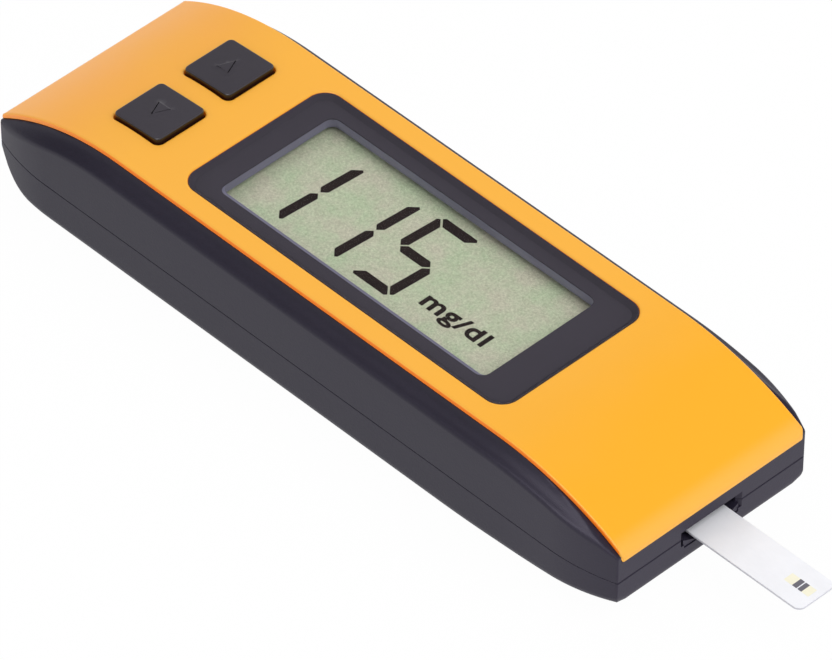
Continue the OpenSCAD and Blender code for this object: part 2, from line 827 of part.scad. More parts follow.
module strip_film() {
  color([0.96, 0.96, 0.98]) translate([0, 0, strip_z + strip_t - film_h])
    linear_extrude(film_h) strip_plan(strip_x0 + track_l + 1.2, strip_x1);
}

// Coloured patches and dark bars near the outer end of the strip
mark_from_tip = 5.3;
mark_w = 1.6;
patch_l = 1.2;
mark_l = 0.6;

module strip_marks() {
  x = strip_x1 - mark_from_tip;
  color([0.93, 0.88, 0.6]) for (at = [0, 3.4])
    block([x + at, -mark_w / 2, strip_z + strip_t], [x + at + patch_l, mark_w / 2, strip_z + strip_t + mark_h]);
  color([0.2, 0.2, 0.22]) for (at = [1.5, 2.5])
    block([x + at, -mark_w / 2, strip_z + strip_t], [x + at + mark_l, mark_w / 2, strip_z + strip_t + mark_h]);
}

face_cover();
upper_case();
lower_case();
battery_door();
display_lens();
lens_border();
display_frame();
front_polariser();
front_glass();
display_segments();
rear_glass();
reflector();
zebra_strips();
circuit_board();
microcontroller();
signal_chip();
memory_chip();
quartz_crystal();
board_capacitors();
buzzer();
up_key();
down_key();
up_switch();
down_switch();
up_switch_stem();
down_switch_stem();
strip_connector();
connector_contacts();
battery_1();
battery_2();
battery_springs();
battery_plates();
case_screws();
board_screws();
strip_base();
strip_tracks();
strip_film();
strip_marks();
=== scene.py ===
import math

import bpy
import numpy as np
from mathutils.geometry import delaunay_2d_cdt
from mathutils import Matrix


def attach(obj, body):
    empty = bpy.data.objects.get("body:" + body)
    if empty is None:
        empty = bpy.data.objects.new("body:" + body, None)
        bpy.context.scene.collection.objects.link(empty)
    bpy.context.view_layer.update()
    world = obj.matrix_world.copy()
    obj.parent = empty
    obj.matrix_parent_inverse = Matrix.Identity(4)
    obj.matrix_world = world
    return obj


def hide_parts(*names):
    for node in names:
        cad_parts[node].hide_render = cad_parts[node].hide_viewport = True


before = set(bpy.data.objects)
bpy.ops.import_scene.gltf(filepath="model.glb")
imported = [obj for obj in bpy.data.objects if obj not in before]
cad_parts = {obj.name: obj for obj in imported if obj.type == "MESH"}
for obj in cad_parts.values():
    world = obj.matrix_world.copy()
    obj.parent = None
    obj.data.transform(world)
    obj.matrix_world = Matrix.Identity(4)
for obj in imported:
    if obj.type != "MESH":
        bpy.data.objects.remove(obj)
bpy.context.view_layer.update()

print("frame loaded with", len(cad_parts), "CAD pieces")

# Shapes are worked out in millimetres and scaled once, when a mesh is made
unit = 0.001


# An sRGB colour from 0 to 255 as the linear colour a shader wants
def tint(red, green, blue):
    share = np.array([red, green, blue]) / 255
    line = np.where(share <= 0.04045, share / 12.92, ((share + 0.055) / 1.055) ** 2.4)
    return (*line.tolist(), 1.0)


class Wire:
    # One socket of a shader tree; sums and products on it add Math nodes
    def __init__(self, tree, socket=None):
        self.tree, self.socket = tree, socket

    # Any node: its type, its settings, then values or wires for its sockets
    def node(self, kind, settings=None, inputs=None, out=0):
        made = self.tree.nodes.new("ShaderNode" + kind)
        for key, value in (settings or {}).items():
            setattr(made, key, value)
        for key, value in (inputs or {}).items():
            if isinstance(value, Wire):
                self.tree.links.new(value.socket, made.inputs[key])
            else:
                made.inputs[key].default_value = value
        return Wire(self.tree, made.outputs[out]) if len(made.outputs) else None

    def calc(self, operation, *values):
        return self.node("Math", {"operation": operation}, dict(enumerate(values)))

    def __add__(self, other):
        return self.calc("ADD", self, other)

    def __sub__(self, other):
        return self.calc("SUBTRACT", self, other)

    def __rsub__(self, other):
        return self.calc("SUBTRACT", other, self)

    def __mul__(self, other):
        return self.calc("MULTIPLY", self, other)

    __radd__, __rmul__ = __add__, __mul__

    def mix(self, share, a, b, way="MIX"):
        return self.node("Mix", {"data_type": "RGBA", "blend_type": way}, {0: share, 6: a, 7: b}, out=2)

    # Share of b over a, as a colour
    def blend(self, a, b):
        return self.mix(self, a, b)

    def noise(self, scale, detail=2.0, roughness=0.5):
        return self.node("TexNoise", None, {
            "Vector": self, "Scale": scale, "Detail": detail, "Roughness": roughness})

    # The noise less its middle value
    def swing(self, *settings):
        return self.noise(*settings) - 0.5

    # Runs smoothly from 0 at one value to 1 at another
    def ramp(self, low, high):
        return self.node("MapRange", {"interpolation_type": "SMOOTHSTEP"},
                         {"Value": self, "From Min": low, "From Max": high})

    def along(self, axis):
        return self.node("SeparateXYZ", None, {"Vector": self}, out=axis)

    # The same place, stretched along the axes
    def scaled(self, scale):
        return self.node("Mapping", None, {"Vector": self, "Scale": scale})

    def bump(self, depth):
        return self.node("Bump", None, {"Height": self, "Distance": depth * unit})

    # 1 on one kind of ray, such as Camera or Shadow, and 0 on the others
    def ray(self, kind):
        return self.node("LightPath", out=f"Is {kind} Ray")


def emptyTree(owner):
    owner.use_nodes = True
    owner.node_tree.nodes.clear()
    return Wire(owner.node_tree)


# Starts a material and gives it with its tree and the object's own coordinates
def startFinish(name):
    material = bpy.data.materials.new(name)
    tree = emptyTree(material)
    return material, tree, tree.node("TexCoord", out="Object")


def closeFinish(material, shader):
    shader.node("OutputMaterial", None, {"Surface": shader})
    return material


# A finish that is one solid shader
def solidFinish(material, tree, inputs):
    return closeFinish(material, tree.node("BsdfPrincipled", None, inputs))


# A colour made darker or lighter
def shaded(colour, factor):
    return (*(min(1, part * factor) for part in colour[:3]), 1)


# Moulded plastic: slow clouds in the colour, and a fine grain from the mould in gloss and bump
def moulded(name, colour, roughness, grain, depth, clouds, speck, specular=0.5):
    material, tree, place = startFinish(name)
    cloud, fine = place.swing(70, 3), place.swing(1000 / grain, 3, 0.6)
    spread = clouds + speck
    mixed = 0.5 + cloud * (1.6 * clouds / spread) + fine * (2.2 * speck / spread)
    return solidFinish(material, tree, {
        "Base Color": mixed.blend(shaded(colour, 1 - spread), shaded(colour, 1 + spread)),
        "Roughness": roughness + fine * 0.16 + cloud * 0.08,
        "Specular IOR Level": specular, "Normal": fine.bump(depth)})


# Metal: fine brushing across one axis, and a slow stain
def metal(name, colour, roughness, brush):
    material, tree, place = startFinish(name)
    lines, stain = place.scaled(brush).noise(2500, 2), place.noise(400, 3)
    return solidFinish(material, tree, {
        "Base Color": stain.blend(shaded(colour, 0.8), colour), "Metallic": 1.0,
        "Roughness": roughness + (lines - 0.5) * 0.2 + (stain - 0.5) * 0.1, "Normal": lines.bump(0.004)})


# Clear sheet that bends nothing: what is behind it shows, with a thin gloss over it
def clearSheet(name, tone, gloss, roughness):
    material, tree, place = startFinish(name)
    through = tree.node("BsdfTransparent", None, {"Color": tone})
    shine = tree.node("BsdfGlossy", None, {"Roughness": roughness})
    patchy = 0.9 + place.noise(900, 2) * 0.2
    share = tree.node("Fresnel", None, {"IOR": gloss}) * patchy * (1 - tree.ray("Diffuse"))
    return closeFinish(material, tree.node("MixShader", None, {0: share, 1: through, 2: shine}))


# The cover's tones, and the runs of X in metres over which one becomes the next. The keys' and port's tones
# are a painted sheen along the top, the edge tone a painted highlight at the port's end, the lip tones
# painted shade, and the glow a painted glow
coverTones = {"keys": tint(255, 176, 74), "middle": tint(255, 183, 59), "port": tint(255, 179, 24),
              "edge": tint(255, 184, 66), "keysLipShade": tint(255, 158, 58), "lip": tint(255, 130, 0),
              "paintedGlow": tint(255, 112, 0), "keysSheenRun": (-0.064, -0.034), "portRun": (0.02, 0.055),
              "endHighlightRun": (0.0595, 0.0618), "lipShadeRun": (-0.06, -0.035), "litEndRun": (0.0575, 0.06)}


# The cover's orange, with painted light: a painted sheen, redder towards the keys, a painted highlight on the
# port's end lip, and painted shade and a faint painted glow, deeper orange, on the steep lips
def makeCoverPlastic():
    material, tree, place = startFinish("coverPlastic")
    cloud, fine = place.swing(70, 3), place.swing(2200, 3, 0.6)
    facing, x = tree.node("TexCoord", out="Normal"), place.along("X")
    clouded = x + cloud * 0.02
    # Painted sheen along the top: paler and redder towards the keys, deeper towards the port
    level = clouded.ramp(*coverTones["portRun"]).blend(coverTones["middle"], coverTones["port"])
    top = clouded.ramp(*coverTones["keysSheenRun"]).blend(coverTones["keys"], level)
    # Painted highlight on the lip at the port's end
    top = x.ramp(*coverTones["endHighlightRun"]).blend(top, coverTones["edge"])
    # Painted shade on the steep lips, lighter towards the keys; the lips at the two ends are left unshaded
    lip = x.ramp(*coverTones["lipShadeRun"]).blend(coverTones["keysLipShade"], coverTones["lip"])
    atEnd = tree.calc("ABSOLUTE", x).ramp(*coverTones["litEndRun"])
    litEndLip = atEnd * tree.calc("ABSOLUTE", facing.along("X")).ramp(0.1, 0.4)
    unshaded = tree.calc("MAXIMUM", facing.along("Z").ramp(0.45, 0.8), litEndLip)
    # Base colour takes the lips' painted shade; the emission is a painted glow on the same lips
    return solidFinish(material, tree, {
        "Base Color": unshaded.blend(lip, top), "Roughness": 0.4 + fine * 0.12 + cloud * 0.06,
        "Emission Color": unshaded.blend(coverTones["paintedGlow"], (0, 0, 0, 1)), "Emission Strength": 0.1,
        "Specular IOR Level": 0.45, "Normal": fine.bump(0.0025)})


# The keys: satin on top, and polished down the sides, which are painted near black as painted shade
def makeKeyPlastic():
    material, tree, place = startFinish("keyPlastic")
    cloud, fine = place.swing(90, 3), place.swing(2600, 3, 0.6)
    top = tree.node("TexCoord", out="Normal").along("Z").ramp(0.35, 0.85)
    satin = (0.5 + cloud + fine * 0.8).blend(tint(61, 57, 64), tint(69, 65, 73))
    return solidFinish(material, tree, {
        # The sides' near-black base colour is painted shade
        "Base Color": top.blend(tint(20, 18, 20), satin), "Roughness": 0.18 + top * 0.14 + fine * 0.1,
        "Normal": fine.bump(0.003)})


# The case's tones: the port's end is painted a little lighter, as painted light, after a run of X in metres;
# specks vary both
caseTones = {"flank": tint(37, 34, 48), "port": tint(46, 42, 57), "portRun": (0.03, 0.056), "portLightShare": 0.55,
             "dark": (0.86, 0.86, 0.86, 1), "light": (1.14, 1.14, 1.14, 1)}


# The case: spark-textured flanks, and smoother where it faces up, in the scoops; painted light makes the
# port's end and the faces that look along X lighter
def makeCasePlastic():
    material, tree, place = startFinish("casePlastic")
    cloud, fine = place.swing(70, 3), place.swing(3300, 3, 0.6)
    facing = tree.node("TexCoord", out="Normal")
    scoop = facing.along("Z").ramp(0.1, 0.5)
    # Painted light: lighter towards the port, and on faces that look along X
    paintedPortLight = place.along("X").ramp(*caseTones["portRun"]) * caseTones["portLightShare"]
    share = tree.calc("MAXIMUM", paintedPortLight, facing.along("X").ramp(0.6, 0.95))
    tone = share.blend(caseTones["flank"], caseTones["port"])
    specks = (0.5 + fine * 1.8 + cloud * 0.5).blend(caseTones["dark"], caseTones["light"])
    return solidFinish(material, tree, {
        "Base Color": tree.mix(1.0, tone, specks, "MULTIPLY"),
        "Roughness": 0.47 - scoop * 0.06 + fine * 0.16 + cloud * 0.06,
        "Specular IOR Level": 0.31, "Specular Tint": (0.95, 0.9, 1.0, 1), "Normal": fine.bump(0.02)})


casePlastic = makeCasePlastic()
coverPlastic = makeCoverPlastic()
keyPlastic = makeKeyPlastic()
# After each colour: roughness, grain size, grain depth, clouds, specks, and the specular level if not 0.5
borderPrint = moulded("borderPrint", tint(66, 62, 71), 0.6, 0.4, 0.0, 0.03, 0.02, 0.05)
framePlastic = moulded("framePlastic", tint(119, 117, 139), 0.45, 0.3, 0.004, 0.03, 0.02, 0.4)
whitePlastic = moulded("whitePlastic", tint(222, 220, 212), 0.45, 0.3, 0.004, 0.03, 0.02)
blackPlastic = moulded("blackPlastic", tint(30, 30, 32), 0.5, 0.3, 0.006, 0.06, 0.03)
contactRubber = moulded("contactRubber", tint(214, 150, 158), 0.7, 0.2, 0.006, 0.05, 0.04, 0.2)
ceramic = moulded("ceramic", tint(168, 142, 112), 0.5, 0.15, 0.004, 0.05, 0.08)
carbonInk = moulded("carbonInk", tint(58, 58, 62), 0.6, 0.1, 0.004, 0.05, 0.1, 0.3)
# After each colour: roughness, and how the brushing is squeezed along X, Y and Z
steel = metal("steel", tint(196, 197, 200), 0.26, (1, 12, 1))
gilt = metal("gilt", tint(222, 184, 112), 0.24, (8, 1, 1))


# The reflector behind the liquid crystal: green grey with small mottled grains and slow patches
def makeReflector():
    material, tree, place = startFinish("displayReflector")
    patch, grain = place.swing(210, 4, 0.6), place.swing(3200, 3, 0.7)
    patches = (0.5 + patch * 3.2).blend(tint(184, 206, 168), tint(208, 196, 182))
    speckled = (0.5 + grain * 2.4).blend(tint(146, 154, 130), tint(236, 240, 220))
    return solidFinish(material, tree, {
        "Base Color": tree.mix(0.5, patches, speckled), "Roughness": 0.5 + grain * 0.3,
        "Specular IOR Level": 0.3, "Normal": grain.bump(0.01)})


# Darkened liquid crystal: brown black with the reflector's grain faintly in it
def makeInk():
    material, tree, place = startFinish("displayInk")
    grain = place.swing(3400, 3, 0.7)
    return solidFinish(material, tree, {
        "Base Color": (0.5 + grain * 2.0).blend(tint(26, 15, 17), tint(52, 38, 39)),
        "Roughness": 0.6 + grain * 0.2, "Specular IOR Level": 0.1})


# Clear acrylic: it bends what is behind it, and lets lamps through to it
def makeLens():
    material, tree, place = startFinish("clearLens")
    tone = place.noise(300, 2).blend((0.97, 0.97, 0.97, 1), (1, 1, 1, 1))
    solid = tree.node("BsdfPrincipled", None, {
        "Base Color": tone, "Roughness": 0.0, "IOR": 1.3, "Transmission Weight": 1.0})
    through = tree.node("BsdfTransparent", None, {"Color": (0.97, 0.97, 0.97, 1)})
    lit = tree.calc("MAXIMUM", tree.ray("Shadow"), tree.ray("Diffuse"))
    return closeFinish(material, tree.node("MixShader", None, {0: lit, 1: solid, 2: through}))


# Test strip: near-white film with a faint weave of the sheet under it
def makeStrip(name, colour, roughness):
    material, tree, place = startFinish(name)
    cloud, fibre = place.swing(260, 3), place.scaled((0.3, 1, 1)).swing(2600, 3)
    mixed = 0.5 + cloud * 1.2 + fibre * 0.6
    return solidFinish(material, tree, {
        "Base Color": mixed.blend(shaded(colour, 0.93), colour),
        "Roughness": roughness + fibre * 0.2, "Normal": fibre.bump(0.003)})


# Circuit board: green mask over copper lines that run in small squares
def makeBoard():
    material, tree, place = startFinish("boardGreen")
    lines = place.node("TexBrick", None, {
        "Vector": place, "Scale": 260.0, "Mortar Size": 0.03,
        "Color1": (0, 0, 0, 1), "Color2": (0.2, 0.2, 0.2, 1), "Mortar": (1, 1, 1, 1)})
    tone, weave = tree.node("RGBToBW", None, {"Color": lines}), place.noise(2200, 2)
    return solidFinish(material, tree, {
        "Base Color": (tone * 0.8 + weave * 0.2).blend(tint(16, 84, 46), tint(58, 132, 76)),
        "Roughness": 0.3 + weave * 0.15, "Normal": (tone + weave * 0.2).bump(0.02)})


# Where the cells' sleeve lies along X, in metres
sleeve = {"middle": -0.03045, "half": 0.0206}


# Cell jacket: a shrunk sleeve, silver at its two ends
def makeJacket():
    material, tree, place = startFinish("cellJacket")
    fromMiddle = tree.calc("ABSOLUTE", place.along("X") - sleeve["middle"])
    printed = tree.calc("LESS_THAN", fromMiddle, sleeve["half"])
    scratch = place.scaled((0.2, 1, 1)).noise(2400, 3)
    return solidFinish(material, tree, {
        "Base Color": printed.blend(tint(190, 190, 194), tint(44, 78, 128)),
        "Metallic": 1 - printed * 0.75, "Roughness": 0.28 + scratch * 0.12, "Normal": scratch.bump(0.004)})


displayReflector, displayInk, clearLens = makeReflector(), makeInk(), makeLens()
displayClear = clearSheet("displayClear", (0.985, 0.99, 0.975, 1), 1.08, 0.1)
stripWhite = makeStrip("stripWhite", tint(249, 250, 255), 0.4)
stripEdge = makeStrip("stripEdge", tint(214, 214, 222), 0.5)
patchYellow = makeStrip("patchYellow", tint(252, 248, 224), 0.5)
barDark = makeStrip("barDark", tint(112, 110, 120), 0.45)
boardGreen, cellJacket = makeBoard(), makeJacket()
print("materials made:", len(bpy.data.materials))


# Inside where a line from the point towards +X crosses the loop an odd number of times
def within(points, loop):
    a, b = loop, np.roll(loop, -1, 0)
    x, y = points[:, :1], points[:, 1:2]
    crosses = (a[:, 1] > y) != (b[:, 1] > y)
    rise = np.where(b[:, 1] == a[:, 1], 1, b[:, 1] - a[:, 1])
    return (crosses & (x < a[:, 0] + (y - a[:, 1]) * (b[:, 0] - a[:, 0]) / rise)).sum(1) % 2 == 1


class Skin:
    # A closed skin. Rings run anticlockwise seen from above, and a chain of rings runs
    # outwards below, up the outside, inwards over the top and down the inside
    def __init__(self):
        self.points, self.faces, self.count = [], [], 0

    def ring(self, points):
        self.points.append(np.asarray(points, float))
        self.count += len(points)
        return np.arange(self.count - len(points), self.count)

    # A band of quads between two rings of the same count
    def band(self, a, b):
        self.faces += np.stack([a, np.roll(a, -1), np.roll(b, -1), b], 1).tolist()

    def chain(self, rings):
        made = [self.ring(r) for r in rings]
        for a, b in zip(made, made[1:]):
            self.band(a, b)
        return made[0], made[-1]

    def cap(self, ring, up=True):
        self.faces.append((ring if up else ring[::-1]).tolist())

    # A chain of rings with both ends capped
    def close(self, rings):
        first, last = self.chain(rings)
        self.cap(first, False)
        self.cap(last)
        return self

    # Triangles between an outer ring and holes; with a height, a square grid of points stands between them
    def fill(self, outer, holes=(), height=None, step=1.5, up=True):
        every, loops = np.concatenate(self.points), [outer, *holes]
        index = np.concatenate(loops)
        edge, shapes = every[index][:, :2], [every[ring][:, :2] for ring in loops]

        def inside(spots):
            holes = sum((within(spots, shape) for shape in shapes[1:]), np.zeros(len(spots), bool))
            return within(spots, shapes[0]) & ~holes

        if height:
            axes = [np.arange(low + step / 2, high, step) for low, high in zip(edge.min(0), edge.max(0))]
            grid = np.stack(np.meshgrid(*axes), -1).reshape(-1, 2)
            away = ((grid[:, None] - edge) ** 2).sum(2).min(1)
            grid = grid[(away > (0.6 * step) ** 2) & inside(grid)]
            index = np.concatenate([index, self.ring(at(grid, height(*grid.T)))])
            edge = np.concatenate([edge, grid])
        links, start = [], 0
        for count in map(len, loops):
            n = np.arange(count)
            links += (start + np.stack([n, np.roll(n, -1)], 1)).tolist()
            start += count
        made = delaunay_2d_cdt(edge.tolist(), links, [], 0, 1e-7)
        back = np.array([origin[0] for origin in made[3]])
        tris = back[np.array(made[2])]
        tris = tris[inside(edge[tris].mean(1))]
        u, v = edge[tris[:, 1]] - edge[tris[:, 0]], edge[tris[:, 2]] - edge[tris[:, 0]]
        turn = (u[:, 0] * v[:, 1] - u[:, 1] * v[:, 0] > 0) != up
        tris[turn] = tris[turn][:, ::-1]
        self.faces += index[tris].tolist()


# Faces that meet at more than this many degrees show an edge
edgeAngle = 32


def newObject(name, data):
    made = bpy.data.objects.new(name, data)
    bpy.context.scene.collection.objects.link(made)
    return made


# The mesh of an object once its modifiers are applied
def finalMesh(piece):
    return bpy.data.meshes.new_from_object(piece.evaluated_get(bpy.context.evaluated_depsgraph_get()))


def paint(mesh, material):
    mesh.materials.clear()
    mesh.materials.append(material)


def shade(mesh, sharp):
    mesh.shade_smooth()
    mesh.set_sharp_from_angle(angle=math.radians(sharp))


# Puts a piece on its body; large faces stay level in the shading
def place(piece, body, stands, slot):
    level = piece.modifiers.new("level", "WEIGHTED_NORMAL")
    level.keep_sharp = True
    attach(piece, body)
    if stands:
        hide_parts(*stands)


# Makes a piece of one skin, shades it smooth up to an angle, and places it on its body
def putPiece(name, skin, material, body=None, stands=(), slot=None, sharp=edgeAngle):
    mesh = bpy.data.meshes.new(name)
    mesh.from_pydata((np.concatenate(skin.points) * unit).tolist(), [], skin.faces)
    piece = newObject(name, mesh)
    paint(mesh, material)
    shade(mesh, sharp)
    if body:
        place(piece, body, stands, slot)
    return piece


def join(*skins):
    return [("UNION", skin) for skin in skins]


def cut(*skins):
    return [("DIFFERENCE", skin) for skin in skins]


# Joins and cuts other solids, one after another, then removes them
def carve(piece, changes):
    tools = [(operation, putPiece("tool", skin, blackPlastic)) for operation, skin in changes]
    for operation, tool in tools:
        change = piece.modifiers.new("carve", "BOOLEAN")
        change.operation, change.solver, change.object = operation, "EXACT", tool
    mesh = finalMesh(piece)
    piece.modifiers.clear()
    piece.data = mesh
    shade(mesh, edgeAngle)
    for _, tool in tools:
        bpy.data.objects.remove(tool)


def circle(angle):
    return np.stack([np.cos(angle), np.sin(angle)], -1)


# Corners rounded by arcs, with straight runs between them cut into steps; gives points and outward normals
def roundLoop(corners, radius, step=1.5, turn=8):
    corners = np.asarray(corners, float)
    points, normals = [], []
    count = len(corners)
    arcs = []
    for i in range(count):
        into, out = corners[i] - corners[i - 1], corners[(i + 1) % count] - corners[i]
        into, out = into / np.hypot(*into), out / np.hypot(*out)
        a0, bend = math.atan2(-into[0], into[1]), math.atan2(into[0] * out[1] - into[1] * out[0], into @ out)
        centre = corners[i] - into * radius * math.tan(bend / 2) + radius * np.array([-into[1], into[0]])
        angle = a0 + bend * np.linspace(0, 1, turn + 1)
        arcs.append((centre + radius * circle(angle), circle(angle)))
    for i in range(count):
        here, facing = arcs[i]
        after = arcs[(i + 1) % count][0][0]
        parts = max(1, int(np.ceil(np.hypot(*(after - here[-1])) / step)))
        share = np.linspace(0, 1, parts + 1)[1:-1, None]
        points += [here, here[-1] + (after - here[-1]) * share]
        normals += [facing, np.repeat(facing[-1:], len(share), 0)]
    return np.concatenate(points), np.concatenate(normals)


# Some settings of a piece, by their names
def pick(settings, names):
    return (settings[name] for name in names.split())


def box4(x0, y0, x1, y1):
    return [(x0, y0), (x1, y0), (x1, y1), (x0, y1)]


def roundBox(x0, y0, x1, y1, radius, step=1.5, turn=8):
    return roundLoop(box4(x0, y0, x1, y1), radius, step, turn)


# Columns side by side, where a single number fills its column
def columns(*parts):
    return np.stack(np.broadcast_arrays(*parts), -1)


def at(loop, z):
    return columns(*loop.T, z)


# A quarter turn in steps: the share of a radius that each has gone inwards, and the share still to rise
def quarter(steps):
    return [(1 - math.cos(angle), 1 - math.sin(angle)) for angle in np.linspace(0, math.pi / 2, steps + 1)]


# An upright solid on a loop, its top and bottom edges rounded by quarter circles
def pillar(loop, z0, z1, top=0.0, bottom=0.0, skin=None):
    skin, bend = skin or Skin(), quarter(4)
    points, facing = loop
    rings = [at(points - facing * bottom * still, z0 + bottom * gone)
             for gone, still in (bend if bottom else bend[-1:])]
    rings += [at(points - facing * top * gone, z1 - top * still)
              for gone, still in (bend if top else bend[:1])]
    return skin.close(rings)


# A drawing of X and Z carried along Y
def slab(drawing, y0, y1):
    x, z = np.asarray(drawing, float).T
    if (x * np.roll(z, -1) - np.roll(x, -1) * z).sum() < 0:
        x, z = x[::-1], z[::-1]
    skin = Skin()
    near, far = (skin.ring(columns(x, y, z)) for y in sorted((y0, y1)))
    skin.faces += np.stack([np.roll(near, -1), near, far, np.roll(far, -1)], 1).tolist()
    skin.faces += [near.tolist(), far[::-1].tolist()]
    return skin


# A profile of distance along an axis and radius, turned round that axis
def lathe(centre, axis, profile, turns=40):
    around = circle(np.linspace(0, 2 * np.pi, turns, endpoint=False))
    rows = [np.roll(columns(along, *(radius * around).T), axis, 1) + centre for along, radius in profile]
    return Skin().close(rows)


# The face: flat between two bends, and round a circle beyond each of them. A pair of values is for the
# keys' end and then the port's, here and further down
face = {"halfLength": 62.2, "halfWidth": 17.5, "bends": (-37.75, 38.3), "radii": (45.0, 50.0), "top": 19.1,
        "thick": 0.8, "corner": 0.6}


# Height at x of a level a depth below the face: flat, or the circle of the end
def archTop(x, depth, radii=face["radii"]):
    radius = np.where(x > 0, radii[1], radii[0])
    run = np.maximum(np.maximum(face["bends"][0] - x, x - face["bends"][1]), 0)
    return face["top"] - radius + np.sqrt((radius - depth) ** 2 - run ** 2)


# A loop laid on the level a depth below the face
def onFace(loop, depth):
    return at(loop, archTop(loop[:, 0], depth))


# The outline is drawn in by a large circle from taperX on. The case leans in below leanFrom. The scoop is a
# groove along the cover; the heel is the sole's bend under the keys, and the toe its slow rise to the port
case = {"end": 62.0, "half": 19.95, "taperX": 50.4, "taperR": (34.5, 36.0), "corner": 0.4,
        "leastCorner": 0.25, "counts": (11, 8, 14, 40), "wall": 1.6, "split": 7.4, "seam": 0.09,
        "nick": 0.04, "endNick": 0.08, "lean": 0.012, "leanFrom": 15.7, "seat": 0.83, "seatIn": 3.0,
        "roof": 2.4, "roofIn": 3.8, "scoopY": 20.417, "scoopE": -0.516, "scoopR": 3.2,
        "scoopRuns": (48.0, 70.0), "crease": 0.7, "creaseShare": 0.42, "leastBand": 0.08, "heelX": -54.85,
        "heelR": 7.15, "toeX": 28.6, "toeR": 180.0, "bottomR": 2.1, "edgeX": 40.0, "toeEdge": 1.5,
        "toeCorner": 0.6, "endEdge": 0.5, "floorEdge": 1.2, "lipIn": 0.85, "lipUp": 0.75,
        "lipPlay": 0.07, "lipRoom": 0.1}


# A quarter of the case's outline, drawn in by an inset: half the end, corner arc, large arc, straight side
def caseQuarter(inset, taperR):
    end, big, small = case["end"] - inset, taperR - inset, max(case["corner"] - inset, case["leastCorner"])
    half, taperX, (inEnd, inCorner, inDrawn, inSide) = pick(case, "half taperX counts")
    cx, cy = end - small, half - taperR
    rise = math.sqrt((big - small) ** 2 - (cx - taperX) ** 2)
    meet = math.atan2(rise, cx - taperX)
    turn, sweep = np.linspace(0, meet, inCorner), np.linspace(meet, np.pi / 2, inDrawn + 1)[1:]
    endLine = columns(end, np.linspace(0, cy + rise, inEnd + 1)[:-1])
    straight = columns(np.linspace(taperX, 0, inSide + 1)[1:], half - inset)
    arcs = [(cx, cy + rise) + small * circle(turn), (taperX, cy) + big * circle(sweep)]
    angle = np.concatenate([np.zeros(inEnd), turn, sweep, np.full(inSide, np.pi / 2)])
    return np.concatenate([endLine, *arcs, straight]), circle(angle)


# The whole outline with its outward normals
def caseLoop(inset=0.0):
    flip = np.array([-1, 1])
    keyEnd, portEnd = (caseQuarter(inset, radius) for radius in case["taperR"])
    return tuple(np.concatenate([b, (a * flip)[-2::-1], (-a)[1:], (b * -flip)[-2:0:-1]])
                 for a, b in zip(keyEnd, portEnd))


# Top of the case: a seat under the cover, and beyond it the scoop, a circle that falls along a larger one
def seatTop(x, y):
    reach = np.clip(case["scoopR"] ** 2 - (np.abs(y) - case["scoopY"]) ** 2, 0, None)
    depth = np.maximum(case["scoopE"] + np.sqrt(reach), case["seat"])
    seat = archTop(x, case["seat"])
    scoop = np.minimum(archTop(x, depth, case["scoopRuns"]), seat)
    return np.where(np.abs(y) > face["halfWidth"] - 0.02, scoop, seat)


# Half width of the outline at x
def halfAt(x):
    run = np.maximum(np.abs(x) - case["taperX"], 0)
    radius = np.where(x > 0, case["taperR"][1], case["taperR"][0])
    return case["half"] - radius + np.sqrt(np.maximum(radius ** 2 - run ** 2, 0))


# Underside at x: level, up the heel's circle at one end, and the toe's to a small corner at the other
def soleAt(x, inset=0.0):
    heelX, heelR, toeX, toeR, end, corner = pick(case, "heelX heelR toeX toeR end toeCorner")
    heel = heelR - np.sqrt(np.clip((heelR - inset) ** 2 - np.minimum(x - heelX, 0) ** 2, 0, None))
    toe = toeR - np.sqrt((toeR - inset) ** 2 - np.maximum(x - toeX, 0) ** 2)
    run = np.clip(x + inset - end + corner, 0, corner)
    return np.maximum(heel, toe) + corner - np.sqrt(corner ** 2 - run ** 2)


# Level of the floor inside, a wall above the underside
def floorAt(x):
    return np.maximum(soleAt(np.clip(x, -60.0, None), case["wall"]), case["wall"])


# Rise of a rounded bottom edge at a distance in from it
def edgeRise(distance, radius):
    inside = np.clip(distance, 0, radius)
    return radius - np.sqrt(radius ** 2 - (radius - inside) ** 2)


# Lower skin of the case: the sole, with its long edges and its edge at the port's end rounded
def lowerSkin(x, y):
    sole = soleAt(x)
    room = np.interp(x, [case["edgeX"], case["end"]], [case["bottomR"], case["toeEdge"]])
    room = np.minimum(room, 0.6 * (case["split"] - sole))
    fromEnd = np.where(x > 0, case["end"] - x, case["end"])
    return sole + edgeRise(halfAt(x) - np.abs(y), room) + edgeRise(fromEnd, case["endEdge"])


# A ring of the flank, which leans in a little downwards
def leaned(points, facing, z, inset=0.0):
    lean = case["lean"] * np.clip(case["leanFrom"] - np.broadcast_to(z, len(points)), 0, None)
    return at(points - facing * (lean + inset)[:, None], z)


# Chamfer of the flank at the joint between the case halves
def nickAt(facing):
    return case["nick"] + case["endNick"] * facing[:, 0] ** 2


